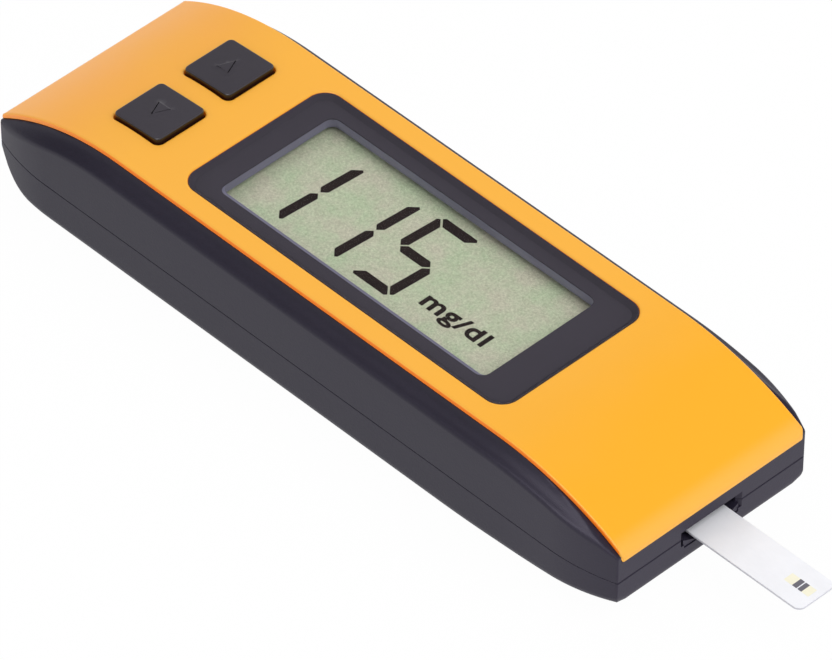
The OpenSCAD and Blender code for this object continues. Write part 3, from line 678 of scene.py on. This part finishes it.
def makeUpper():
    skin = Skin()
    outline, facing = caseLoop()
    insets = (case["roofIn"], case["seatIn"], case["wall"], case["lipIn"] + case["lipPlay"])
    roof, inner, wall, lip = (caseLoop(inset)[0] for inset in insets)
    split, depth, seat, least = pick(case, "split roof seat leastBand")
    low, lipZ, nick = split + case["seam"] / 2, split + case["lipUp"] + case["lipRoom"], nickAt(facing)
    wallZ = lipZ + 0.55 * (archTop(wall[:, 0], depth) - lipZ)
    rings = [onFace(roof, depth), at(wall, wallZ), at(wall, lipZ), at(lip, lipZ), at(lip, low),
             leaned(outline, facing, low, nick)]
    # The flank goes up from there to the crease, which is a quadratic curve, and then in over the scoop
    inward = inner - outline
    inward /= np.hypot(*inward.T)[:, None]
    wide = np.abs(outline[:, 1]) - (face["halfWidth"] - 0.05)
    band = np.where(wide > least, wide / np.maximum(np.abs(inward[:, 1]), 0.3), least)
    soft = np.minimum(case["crease"], case["creaseShare"] * band)
    top = seatTop(*outline.T)

    def onSeat(distance):
        spot = outline + inward * distance[:, None]
        return at(spot, seatTop(*spot.T))

    for share in (0, 0.33, 0.67, 1):
        rings.append(leaned(outline, facing, low + nick + share * (top - soft - low - nick)))
    start, corner, finish = rings[-1], at(outline, top), onSeat(soft)
    for t in (0.2, 0.4, 0.6, 0.8, 1):
        rings.append((1 - t) ** 2 * start + 2 * t * (1 - t) * corner + t * t * finish)
    for share in np.sin(np.linspace(0, np.pi / 2, 9))[1:]:
        rings.append(onSeat(soft + share * (band - soft)))
    rings.append(onFace(inner, seat))
    first, last = skin.chain(rings)
    skin.fill(first, (), lambda x, y: archTop(x, depth), 3.0, up=False)
    skin.fill(last, (), lambda x, y: archTop(x, seat), 3.0)
    return skin


def makeLower():
    skin = Skin()
    outline, facing = caseLoop()
    split, inset, heelR = pick(case, "split wall heelR")
    high, lipZ, nick = split - case["seam"] / 2, split + case["lipUp"], nickAt(facing)
    soles = [caseLoop(heelR * gone)[0] for gone, _ in quarter(16)[::-1]]
    # The rounded edge meets the flank, which goes up to the joint
    rows = [leaned(spot, facing, lowerSkin(*spot.T)) for spot in soles]
    foot = rows[-1][:, 2]
    for share in (0.33, 0.67, 1):
        rows.append(leaned(outline, facing, foot + share * (high - nick - foot)))
    rows.append(leaned(outline, facing, high, nick))
    lip, wall = caseLoop(case["lipIn"])[0], caseLoop(inset)[0]
    rows += [at(lip, high), at(lip, lipZ), at(wall, lipZ)]
    for gone, _ in quarter(8):
        spot = caseLoop(inset + (heelR - inset) * gone)[0]
        lift = edgeRise(halfAt(spot[:, 0]) - inset - np.abs(spot[:, 1]), case["floorEdge"])
        rows.append(at(spot, np.minimum(floorAt(spot[:, 0]) + lift, split - 0.1)))
    first, last = skin.chain(rows)
    skin.fill(first, (), lowerSkin, 1.5, up=False)
    skin.fill(last, (), lambda x, y: floorAt(x), 3.0)
    return skin


lens = {"x0": -28.65, "x1": 35.35, "half": 13.95, "radius": 2.9, "turn": 12, "top": 19.0,
        "bottom": 18.0, "gap": 0.1}
window = {"x0": -24.15, "x1": 28.65, "half": 11.05, "radius": 1.5, "turn": 8, "wall": 1.2,
          "low": 16.3, "high": 17.8}
keys = {"x": -40.65, "y": 6.7, "half": 4.65, "radius": 0.85, "gap": 0.22, "top": 19.95, "slope": 0.0686,
        "edge": 0.3, "flange": 15.15, "flangeUp": 0.5, "flangeOut": 0.7, "wall": 0.9, "hollow": 1.6,
        "mark": 0.15, "markHalf": 1.5, "markTall": 3.3, "markIn": 1.4, "markBack": 0.2, "post": 1.0,
        "postLow": 15.95}
# The port's recess takes the cover's turned-down end; its ledge is drawn in Y and Z, its guide in X and Z
port = {"half": 5.2, "low": 5.5, "high": 8.8, "back": 58.8, "flare": 0.85, "flareLow": 6.1,
        "recess": (61.5, -17.3, 64, 17.3), "recessLow": 11.2, "guide": (58.6, 3.4, 59.8, 5.2), "guideY": 7.0,
        "ledge": [(-5.3, 5.66), (5.3, 5.66), (5.3, 6.9), (3.3, 5.95), (-3.3, 5.95), (-5.3, 6.9)],
        "ledgeFrom": 59.4, "ledgeTo": 61.75}
# Each screw place: x, y, foot of the boss, seat of the head
screws = {"places": [(-47.15, 16.15, 0.6, 3.0), (53.0, 14.15, 2.5, 3.8)], "hole": 2.1, "boss": 2.4}
# A level over the whole meter and a place past its port, where cuts can end
above, beyond = 22, 70


def keyLoop(side, grow=0.0, step=1.5):
    half, y = keys["half"] + grow, side * keys["y"]
    return roundBox(keys["x"] - half, y - half, keys["x"] + half, y + half, keys["radius"] + grow, step)


# The outline of the lens or the window, grown outwards
def rimLoop(rim, grow=0.0):
    half = rim["half"] + grow
    return roundBox(rim["x0"] - grow, -half, rim["x1"] + grow, half, rim["radius"] + grow, turn=rim["turn"])


# The port is a slot whose upper half widens towards its mouth
def portCuts():
    made = [slab(box4(port["back"], port["low"], beyond, port["high"]), -port["half"], port["half"])]
    y, end = port["half"] - 0.1, case["end"]
    for side in (-1, 1):
        flare = np.array([(end - port["flare"], side * y), (end + 1, side * y),
                          (end + 1, side * (y + 1 + port["flare"]))])[::side]
        made.append(pillar((flare, 0 * flare), port["flareLow"], port["high"] + 0.01))
    return cut(*made)


upper = putPiece("upperCase", makeUpper(), casePlastic)
openings = [pillar(keyLoop(side, keys["gap"]), 8, above) for side in (-1, 1)]
openings += [pillar(rimLoop(lens, lens["gap"]), window["high"], above),
             pillar(rimLoop(window, window["wall"] + 0.1), 12, above),
             pillar(roundBox(*port["recess"], 0.1), port["recessLow"], above)]
carve(upper, cut(*openings) + portCuts())
place(upper, "meter", ["upper_case"], "case_plastic")
print("upper case made")

door = {"half": 12.4, "end": -5.9, "gap": 0.25, "out": 1.5, "tongueOut": 0.7, "tongueIn": 0.3,
        "tongueLow": 0.65, "tongueHigh": 1.25, "play": 0.15, "top": 7.13, "edge": 0.22, "innerEdge": 0.1,
        "tip": 0.12, "grooves": 5, "grooveX": -48.0, "groovePitch": 2, "grooveZ": -0.65}
bay = {"x0": -54.2, "x1": -6.7, "half": 11.0, "wall": 1.0, "under": 1.25, "floor": 1.85, "roof": 12.55,
       "over": 13.3, "slope": 5, "shoulder": 11.4}
# The rails beside the door: X and Z of their section, and how far they reach in and out across
rail = {"box": (-54.9, 0.3, -4.0, 3.4), "in": 0.5, "out": 1.9}


# Side view of the room for the door: along under the case and round its heel, and back along the bay's floor
def doorRoom():
    rows = []
    heelX, heelR = pick(case, "heelX heelR")
    for depth in (-door["out"], bay["floor"]):
        radius = heelR - depth
        turn = np.linspace(0, 1, 24) * (math.pi / 2 + math.asin((7.0 - heelR) / radius))
        bend = (heelX, heelR) - radius * circle(turn)[:, ::-1]
        rows.append(np.concatenate([[(door["end"] + door["gap"], depth)], bend]))
    return np.concatenate([rows[0], [(-64, 8.4), (-60.0, 8.4)], rows[1][::-1]])


def makeLowerChanges():
    x0, x1, half, wall, under, roof, over, slope, shoulder = pick(
        bay, "x0 x1 half wall under roof over slope shoulder")
    doorHalf, end, gap, play = pick(door, "half end gap play")
    wide = doorHalf + gap
    outside = [(x0 - wall, under), (x1 + wall, under), (x1 + wall, over), (x0 + slope + wall, over),
               (x0 - wall, shoulder + 0.6)]
    inside = [(x0, -1), (x1, -1), (x1, roof), (x0 + slope, roof), (x0, shoulder)]
    tongueRoom = box4(-66, door["tongueLow"] - play, end + gap, door["tongueHigh"] + play)
    added = [slab(outside, -half - wall, half + wall)]
    removed = [slab(inside, -half, half), slab(doorRoom(), -wide, wide)]
    for side in (-1, 1):
        added.append(slab(box4(*rail["box"]), side * (half + rail["in"]), side * (doorHalf + rail["out"])))
        removed.append(slab(tongueRoom, side * (wide - door["tongueIn"]), side * (wide + door["tongueOut"])))
        for x, y, foot, seat in screws["places"]:
            boss, hole = screws["boss"], screws["hole"]
            added.append(lathe((x, side * y, 0), 2, [(foot, boss), (case["split"] - 0.1, boss)]))
            removed.append(lathe((x, side * y, 0), 2, [(-2, hole), (seat, hole)]))
    # The guide under the strip, and a dished ledge in the mouth with a thin line of air under it
    added.append(slab(box4(*port["guide"]), -port["guideY"], port["guideY"]))
    ledge = Skin()
    y, z = np.array(port["ledge"]).T
    near, far = (ledge.ring(columns(x, y, z)) for x in (port["ledgeFrom"], port["ledgeTo"]))
    ledge.band(far, near)
    ledge.cap(near, False)
    ledge.cap(far)
    return join(*added) + cut(*removed) + portCuts() + join(ledge)


lower = putPiece("lowerCase", makeLower(), casePlastic)
carve(lower, makeLowerChanges())
place(lower, "meter", ["lower_case"], "case_plastic")
print("lower case made")


# The door is the shell round the heel, with a tongue along each side and grooves for a thumb
def makeDoor():
    # Its cross section is a rounded rectangle of distance across and depth under the sole
    across, depth = [], []
    half, below, inside = pick(door, "half edge innerEdge")
    wall, heelX, heelR = pick(case, "wall heelX heelR")
    corners = ((half - below, below, below), (half - inside, wall - inside, inside),
               (inside - half, wall - inside, inside), (below - half, below, below))
    for i, (y, middle, radius) in enumerate(corners):
        angle = np.radians(np.linspace(90 * i, 90 * i + 90, 4))
        across.append(y + radius * np.sin(angle))
        depth.append(middle - radius * np.cos(angle))
    across, depth = np.concatenate(across), np.concatenate(depth)
    radius = heelR - depth
    rows = [columns(x, across, depth) for x in np.linspace(door["end"], heelX, 34)]
    for a in np.linspace(0, math.acos((heelR - door["top"]) / heelR), 22)[1:]:
        rows.append(columns(heelX - radius * math.sin(a), across, heelR - radius * math.cos(a)))
    # A smaller first section rounds the end off
    middle = rows[0].mean(0)
    tip = middle + (rows[0] - middle) * (1, 0.9, 0.9)
    return Skin().close([tip, rows[0] - (door["tip"], 0, 0), *rows[1:]])


doorPiece = putPiece("batteryDoor", makeDoor(), casePlastic)
tongue = box4(case["heelX"], door["tongueLow"], door["end"] - door["play"], door["tongueHigh"])
tongues = [slab(tongue, side * (door["half"] - door["tongueIn"]), side * (door["half"] + door["tongueOut"]))
           for side in (-1, 1)]
# A groove is a long capsule: distance from its middle and radius
roundEnd = [(7.0, 0.05), (6.9, 0.5), (6.6, 0.8), (6.0, 1.0)]
capsule = [(-along, radius) for along, radius in roundEnd] + roundEnd[::-1]
grooves = [lathe((door["grooveX"] + door["groovePitch"] * i, 0, door["grooveZ"]), 1, capsule, 32)
           for i in range(door["grooves"])]
carve(doorPiece, join(*tongues) + cut(*grooves))
place(doorPiece, "door", ["battery_door"], "case_plastic")
print("battery door made")


# How far each edge is rounded inwards and downwards, and how the plate ends below
cover = {"sideIn": 0.4, "sideDown": 0.35, "endIn": (1.3, 1.6), "endDown": (0.55, 1.15), "lensIn": 0.45,
         "lensDown": 0.3, "keyIn": 0.35, "keyDown": 0.3, "steps": 6, "least": 0.02, "hang": 0.9,
         "hangFrom": 61.75, "hangRun": 0.35, "lip": 0.3, "portLip": 0.78, "foot": 0.12}


# A plate that follows the face, with a rounded lip outside, wider at the ends, and at each opening.
# Over the port's end of the case it turns down
def makeCover():
    skin = Skin()
    long, half, thick = pick(face, "halfLength halfWidth thick")
    bend = quarter(cover["steps"])
    outline, facing = roundBox(-long, -half, long, half, face["corner"], turn=10)
    endIn, endDown = (np.where(outline[:, 0] > 0, *cover[way][::-1]) for way in ("endIn", "endDown"))
    down = cover["sideDown"] + (endDown - cover["sideDown"]) * facing[:, 0] ** 2
    hang = cover["hang"] * np.clip((outline[:, 0] - cover["hangFrom"]) / cover["hangRun"], 0, 1)
    hang += cover["least"]
    inside = outline - facing * cover["lip"]
    inside[:, 0] = np.minimum(inside[:, 0], long - cover["portLip"])
    under, foot = archTop(inside[:, 0], thick), archTop(outline[:, 0], thick) - hang
    rings = [at(inside, under), at(inside, under - hang), at(outline - facing * cover["foot"], foot),
             at(outline, foot + cover["foot"])]
    for gone, still in bend:
        spot, ends = outline - facing * cover["sideIn"] * gone, long - endIn * gone
        spot[:, 0] = np.clip(spot[:, 0], -ends, ends)
        rings.append(onFace(spot, down * still))
    first, last = skin.chain(rings)
    openings = [(rimLoop(lens, lens["gap"]), cover["lensIn"], cover["lensDown"])]
    openings += [(keyLoop(side, keys["gap"]), cover["keyIn"], cover["keyDown"]) for side in (-1, 1)]
    tops, bottoms = [], []
    for (hole, out), wide, deep in openings:
        rows = [onFace(hole + out * wide * gone, deep * still) for gone, still in bend[::-1]]
        high, low = skin.chain([*rows, onFace(hole, thick)])
        tops.append(high)
        bottoms.append(low)
    skin.fill(last, tops, lambda x, y: archTop(x, 0), 1.5)
    skin.fill(first, bottoms, lambda x, y: archTop(x, thick), 3.0, up=False)
    return skin


putPiece("faceCover", makeCover(), coverPlastic, "meter", ["face_cover"], "cover_plastic", 40)
print("face cover made")

lensSkin = pillar(rimLoop(lens, -0.05), lens["bottom"], lens["top"], 0.08, 0.04)
putPiece("displayLens", lensSkin, clearLens, "meter", ["display_lens"], "clear_lens")


# A plate with a hole: rings up its outside, and rings down its hole
def holedPlate(skin, outside, hole):
    low, high = skin.chain(outside)
    holeHigh, holeLow = skin.chain(hole)
    skin.fill(high, [holeHigh])
    skin.fill(low, [holeLow], up=False)
    return skin


# The border is a print under the lens; it slopes up to a thin rim round the lens
def makeBorder():
    outer, inner, foot = (rimLoop(lens, grow)[0] for grow in (0.06, -0.02, -0.9))
    hole, floor, rim = rimLoop(window)[0], lens["bottom"] - 0.02, lens["top"] - 0.04
    outside = [at(outer, window["high"]), at(outer, rim), at(inner, rim), at(foot, floor)]
    return holedPlate(Skin(), outside, [at(hole, floor), at(hole, window["high"])])


putPiece("lensBorder", makeBorder(), borderPrint, "meter", ["lens_border"], "border_print")

# The step's hole is set in along the near side. The edges of the frame round the glass, and of the glass, are
# x0, y0, x1 and y1
step = {"grow": 0.05, "near": 0.66, "radius": 1.3, "chamfer": 0.13, "top": 17.79}
frameRing = {"outer": (-27.55, -14.95, 32.05, 14.95), "inner": (-26.45, -13.85, 30.95, 13.85),
             "outerR": 1.5, "innerR": 0.3, "low": 14.45, "high": 16.6}
glass = {"edge": (-26.35, -13.7, 30.85, 13.7), "radius": 0.2, "low": 15.56, "high": 16.28}


# The step round the display shows a sliver of its top along the near side, with a small chamfer
def makeStep():
    grow, top, chamfer = step["grow"], step["top"], step["chamfer"]
    hole, out = roundBox(window["x0"] - grow, -window["half"] + step["near"], window["x1"] + grow,
                         window["half"], step["radius"])
    outer = rimLoop(window, window["wall"])[0]
    rows = [at(hole + out * chamfer, top), at(hole, top - chamfer), at(hole, window["low"])]
    return holedPlate(Skin(), [at(outer, window["low"]), at(outer, top)], rows)


outer, inner = (roundBox(*frameRing[way], frameRing[way + "R"])[0] for way in ("outer", "inner"))
levels = (frameRing["low"], frameRing["high"])
frameSkin = holedPlate(makeStep(), [at(outer, z) for z in levels], [at(inner, z) for z in levels[::-1]])
putPiece("displayFrame", frameSkin, framePlastic, "meter", ["display_frame"], "frame_plastic")
glassSkin = pillar(roundBox(*glass["edge"], glass["radius"], 60, 2), glass["low"], glass["high"])
glassNodes = ["front_polariser", "front_glass"]
putPiece("displayGlass", glassSkin, displayClear, "meter", glassNodes, "display_glass")

# Each digit's lit bars go by their numbers
digits = {"x": -15.78, "y": 0.48, "pitch": 10.93, "climb": 0.027, "grow": 0.015, "wide": 6.2, "tall": 16.45,
          "bar": 1.55, "space": 0.3, "slant": 0.066, "z0": 15.5, "z1": 15.54, "lit": ["12", "12", "05623"]}
# The heights pair a level of the font with its level here
unitText = {"x": 9.9, "y": -5.05, "long": 12.3, "size": 4.1, "thick": 0.1, "space": 1.08, "deep": 0.02,
            "heights": [(-1.2, -1.1), (0, 0), (1.94, 2.14), (3.04, 2.74)]}


# One bar of a digit, turned over by the signs and leaned to the right about the digit's middle
def barShape(skin, shape, middle, signs):
    shape = np.array(shape) * signs
    if signs[0] * signs[1] < 0:
        shape = shape[::-1]
    shape[:, 0] += digits["slant"] * shape[:, 1]
    skin.close([at(shape + middle, digits["z0"]), at(shape + middle, digits["z1"])])


# Bars are numbered clockwise from the top one, with the middle bar last. The outer ones are mitred at the
# corners of the digit, the upright ones are pointed at the middle, and the middle one is pointed at both ends
def makeDigits():
    skin = Skin()
    w, h, t = digits["bar"] / 2, digits["wide"] / 2, (digits["tall"] - digits["bar"]) / 2
    g = digits["space"] / math.sqrt(2)
    level = [(h - w - g, t - w), (h + 0.5 * w - g, t + 0.5 * w), (h + 0.1 * w - g, t + w)]
    level = [(-h + w + g, t - w), *level, *((-x, y) for x, y in level[:0:-1])]
    upright = [(h - w, w + g), (h, g), (h + w, w + g), (h + w, t + 0.1 * w - g),
               (h + 0.5 * w, t + 0.5 * w - g), (h - w, t - w - g)]
    across = [(-h + g, 0), (-h + w + g, -w), (h - w - g, -w), (h - g, 0), (h - w - g, w), (-h + w + g, w)]
    bars = [(level, (1, 1)), (upright, (1, 1)), (upright, (1, -1)), (level, (1, -1)), (upright, (-1, -1)),
            (upright, (-1, 1)), (across, (1, 1))]
    for i, lit in enumerate(digits["lit"]):
        size, shift = 1 + digits["grow"] * i, digits["pitch"] * i
        middle = (digits["x"] + shift - h * size, digits["y"] + shift * digits["climb"])
        for bar in map(int, lit):
            barShape(skin, np.array(bars[bar][0]) * size, middle, bars[bar][1])
    return skin


# The unit is set in plain letters, then stretched to its length and to its heights
def makeUnit():
    words = bpy.data.curves.new("unitWords", "FONT")
    words.body, words.space_character = "mg/dl", unitText["space"]
    words.size, words.offset, words.extrude = (unitText[part] * unit for part in ("size", "thick", "deep"))
    wordPiece = newObject("unitWords", words)
    bpy.context.view_layer.update()
    mesh = finalMesh(wordPiece)
    bpy.data.objects.remove(wordPiece)
    spots = np.zeros(len(mesh.vertices) * 3)
    mesh.vertices.foreach_get("co", spots)
    x, y, z = spots.reshape(-1, 3).T / unit
    x = unitText["x"] + (x - x.min()) * unitText["long"] / (x.max() - x.min())
    y = unitText["y"] + np.interp(y, *np.transpose(unitText["heights"]))
    z += digits["z0"] + unitText["deep"]
    mesh.vertices.foreach_set("co", (columns(x, y, z) * unit).ravel())
    paint(mesh, displayInk)
    return newObject("displayUnit", mesh)


putPiece("displaySegments", makeDigits(), displayInk, "meter", ["display_segments"], "display_ink")
place(makeUnit(), "meter", [], "display_ink")
print("display made")


# A cap with a hollow under it, a flange that stays under the case, a rounded top edge and a raised triangle
def makeKey(side):
    skin = Skin()
    cap, facing = keyLoop(side, 0, 0.8)
    low, edge, top, mark = pick(keys, "flange edge top mark")
    inside, flange = cap - facing * keys["wall"], cap + facing * keys["flangeOut"]
    step, roof = low + keys["flangeUp"], top - keys["hollow"]
    rings = [at(inside, roof), at(inside, low), at(flange, low), at(flange, step), at(cap, step)]

    # The top slopes with the face
    def onTop(loop, rise=0.0):
        return at(loop, top - keys["slope"] * (keys["x"] + keys["half"] - loop[:, 0]) + rise)

    rings += [onTop(cap - facing * edge * gone, -edge * still) for gone, still in quarter(6)]
    first, last = skin.chain(rings)
    skin.cap(first, False)
    middle, base = keys["x"] - keys["markBack"], keys["y"] - keys["markIn"]
    half, tip = keys["markHalf"], (middle, base + keys["markTall"])
    corners = [(middle - half, base), (middle + half, base), tip]
    if side < 0:
        corners = [(x, -y) for x, y in corners[::-1]]
    foot, out = roundLoop(corners, 0.2, 0.6, 3)
    low, high = skin.chain([onTop(foot), onTop(foot - out * 0.14, mark * 0.7), onTop(foot - out * 0.3, mark)])
    skin.fill(last, [low], lambda x, y: onTop(columns(x, y))[:, 2], 0.8)
    skin.cap(high)
    facing = circle(np.linspace(0, 2 * np.pi, 24, endpoint=False))
    post = (keys["x"], side * keys["y"]) + keys["post"] * facing
    return pillar((post, facing), keys["postLow"], roof + 0.05, skin=skin)


for side, word in ((1, "up"), (-1, "down")):
    putPiece(word + "Key", makeKey(side), keyPlastic, word + "_button", [word + "_key"], "key_plastic", 40)
print("keys made")

# The marks lie on the film; each kind has its runs of X
strip = {"x0": 51.4, "x1": 82.05, "half": 3.6, "tip": 1.2, "low": 6.65, "film": 6.95, "top": 7.05,
         "filmX0": 56.6, "filmIn": 0.02}
marks = {"patches": [(76.45, 78.0), (79.75, 81.05)], "bars": [(78.0, 78.8), (79.0, 79.75)], "half": 0.85,
         "up": 0.03, "sunk": 0.02}
baseLoop = roundBox(strip["x0"], -strip["half"], strip["x1"], strip["half"], strip["tip"], 30)
baseSkin = pillar(baseLoop, strip["low"], strip["film"], bottom=0.05)
putPiece("stripBase", baseSkin, stripEdge, "test_strip", ["strip_base"], "strip_white")
filmHalf = strip["half"] - strip["filmIn"]
filmLoop = roundBox(strip["filmX0"], -filmHalf, strip["x1"] - strip["filmIn"], filmHalf,
                    strip["tip"] - strip["filmIn"], 30)
filmSkin = pillar(filmLoop, strip["film"] + 0.002, strip["top"], 0.03)
putPiece("stripFilm", filmSkin, stripWhite, "test_strip", ["strip_film"], "strip_white")


# Thin raised rectangles with rounded corners
def makeMarks(runs, radius):
    skin, half = Skin(), marks["half"]
    for x0, x1 in runs:
        loop = roundBox(x0, -half, x1, half, radius, 5, 2)
        pillar(loop, strip["top"] - marks["sunk"], strip["top"] + marks["up"], skin=skin)
    return skin


patchSkin, barSkin = makeMarks(marks["patches"], 0.08), makeMarks(marks["bars"], 0.05)
putPiece("stripPatches", patchSkin, patchYellow, "test_strip", ["strip_marks"], "strip_patch")
putPiece("stripBars", barSkin, barDark, "test_strip", ["strip_marks"], "strip_patch")
print("strip made")

# CAD pieces that stay as they are, by their finish
kept = [
    (displayReflector, "rear_glass reflector"), (contactRubber, "zebra_strips"),
    (boardGreen, "circuit_board"),
    (blackPlastic, "microcontroller signal_chip memory_chip buzzer up_switch down_switch strip_connector"),
    (steel, "quartz_crystal battery_springs battery_plates case_screws board_screws"),
    (ceramic, "board_capacitors"), (whitePlastic, "up_switch_stem down_switch_stem"),
    (gilt, "connector_contacts"), (cellJacket, "battery_1 battery_2"), (carbonInk, "strip_tracks")]
for material, names in kept:
    for name in names.split():
        paint(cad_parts[name].data, material)
print("finishes given to the CAD pieces that stay")


# 1 for rays from the camera, a gloss or a clear piece, which see white; the rest see the real floor and light
def seenShare(tree):
    direct = tree.calc("MAXIMUM", tree.ray("Camera"), tree.ray("Glossy"))
    return tree.calc("MAXIMUM", direct, tree.ray("Transmission"))


studio = {"floorTone": (0.93, 0.93, 0.94, 1), "floorWhite": 0.98, "floorHalf": 2500, "floorTop": -0.02,
          "world": 0.72, "low": 0.2, "high": 0.5, "dim": 0.15, "side": 0.25}
half, floorSkin = studio["floorHalf"], Skin()
floorSkin.cap(floorSkin.ring(at(np.array(box4(-half, -half, half, half)), studio["floorTop"])))
floorMaterial, floorTree, _ = startFinish("floorWhite")
floorPlain = floorTree.node("BsdfDiffuse", None, {"Color": studio["floorTone"]})
floorGlow = floorTree.node("Emission", None, {"Color": (1, 1, 1, 1), "Strength": 1.0})
glowShare = seenShare(floorTree) * studio["floorWhite"]
closeFinish(floorMaterial, floorTree.node("MixShader", None, {0: glowShare, 1: floorPlain, 2: floorGlow}))
putPiece("floor", floorSkin, floorMaterial)

# The world is white to the camera; in a gloss it is bright low down, like the sweep, and dim higher up,
# less so towards +X
world = bpy.data.worlds.new("studio")
bpy.context.scene.world = world
sky = emptyTree(world)
toward = sky.node("TexCoord", out="Generated")
height = toward.along("Z") - toward.along("X") * studio["side"]
gleam = 1 - height.ramp(studio["low"], studio["high"]) * (1 - studio["dim"])
white, glossy = seenShare(sky), sky.ray("Glossy")
level = studio["world"] + (white - glossy) * (1 - studio["world"]) + glossy * (gleam - studio["world"])
background = sky.node("Background", None, {"Color": (1, 1, 1, 1), "Strength": level})
sky.node("OutputWorld", None, {"Surface": background})

# Each lamp: its place in metres, its width, its power, and whether it shows in a matt and in a gloss
lamps = {"main": ((0.58, 0.2, 0.79), 0.6, 3.4, True, False),
         "back": ((-0.6, 0.3, 0.74), 0.5, 0.9, True, False),
         "front": ((0.07, -0.37, 0.48), 0.42, 2.4, False, True)}
for name, (spot, size, power, matt, gloss) in lamps.items():
    light = bpy.data.lights.new(name, "AREA")
    light.shape, light.size, light.energy = "SQUARE", size, power
    lamp = newObject(name, light)
    lamp.location = spot
    lamp.rotation_euler = (math.acos(spot[2] / math.hypot(*spot)), 0, math.atan2(spot[0], -spot[1]))
    lamp.visible_diffuse, lamp.visible_glossy, lamp.visible_transmission = matt, gloss, False

# Place in metres, degrees down from level and round from +Y, sensor in millimetres, and focal length and
# width of the render in pixels
shot = {"place": (0.692183, -0.661613, 0.902187), "down": 43.2733, "turn": 46.1217, "sensor": 36,
        "focus": 9435.69, "width": 832, "near": 0.05, "far": 20}
camera = newObject("camera", bpy.data.cameras.new("camera"))
camera.location = shot["place"]
camera.rotation_euler = (math.radians(90 - shot["down"]), 0, math.radians(shot["turn"]))
camera.data.sensor_width = shot["sensor"]
camera.data.lens = shot["sensor"] * shot["focus"] / shot["width"]
camera.data.clip_start, camera.data.clip_end = shot["near"], shot["far"]
bpy.context.scene.camera = camera
bpy.context.scene.view_settings.view_transform = "Standard"
print("floor, lamps and camera set")
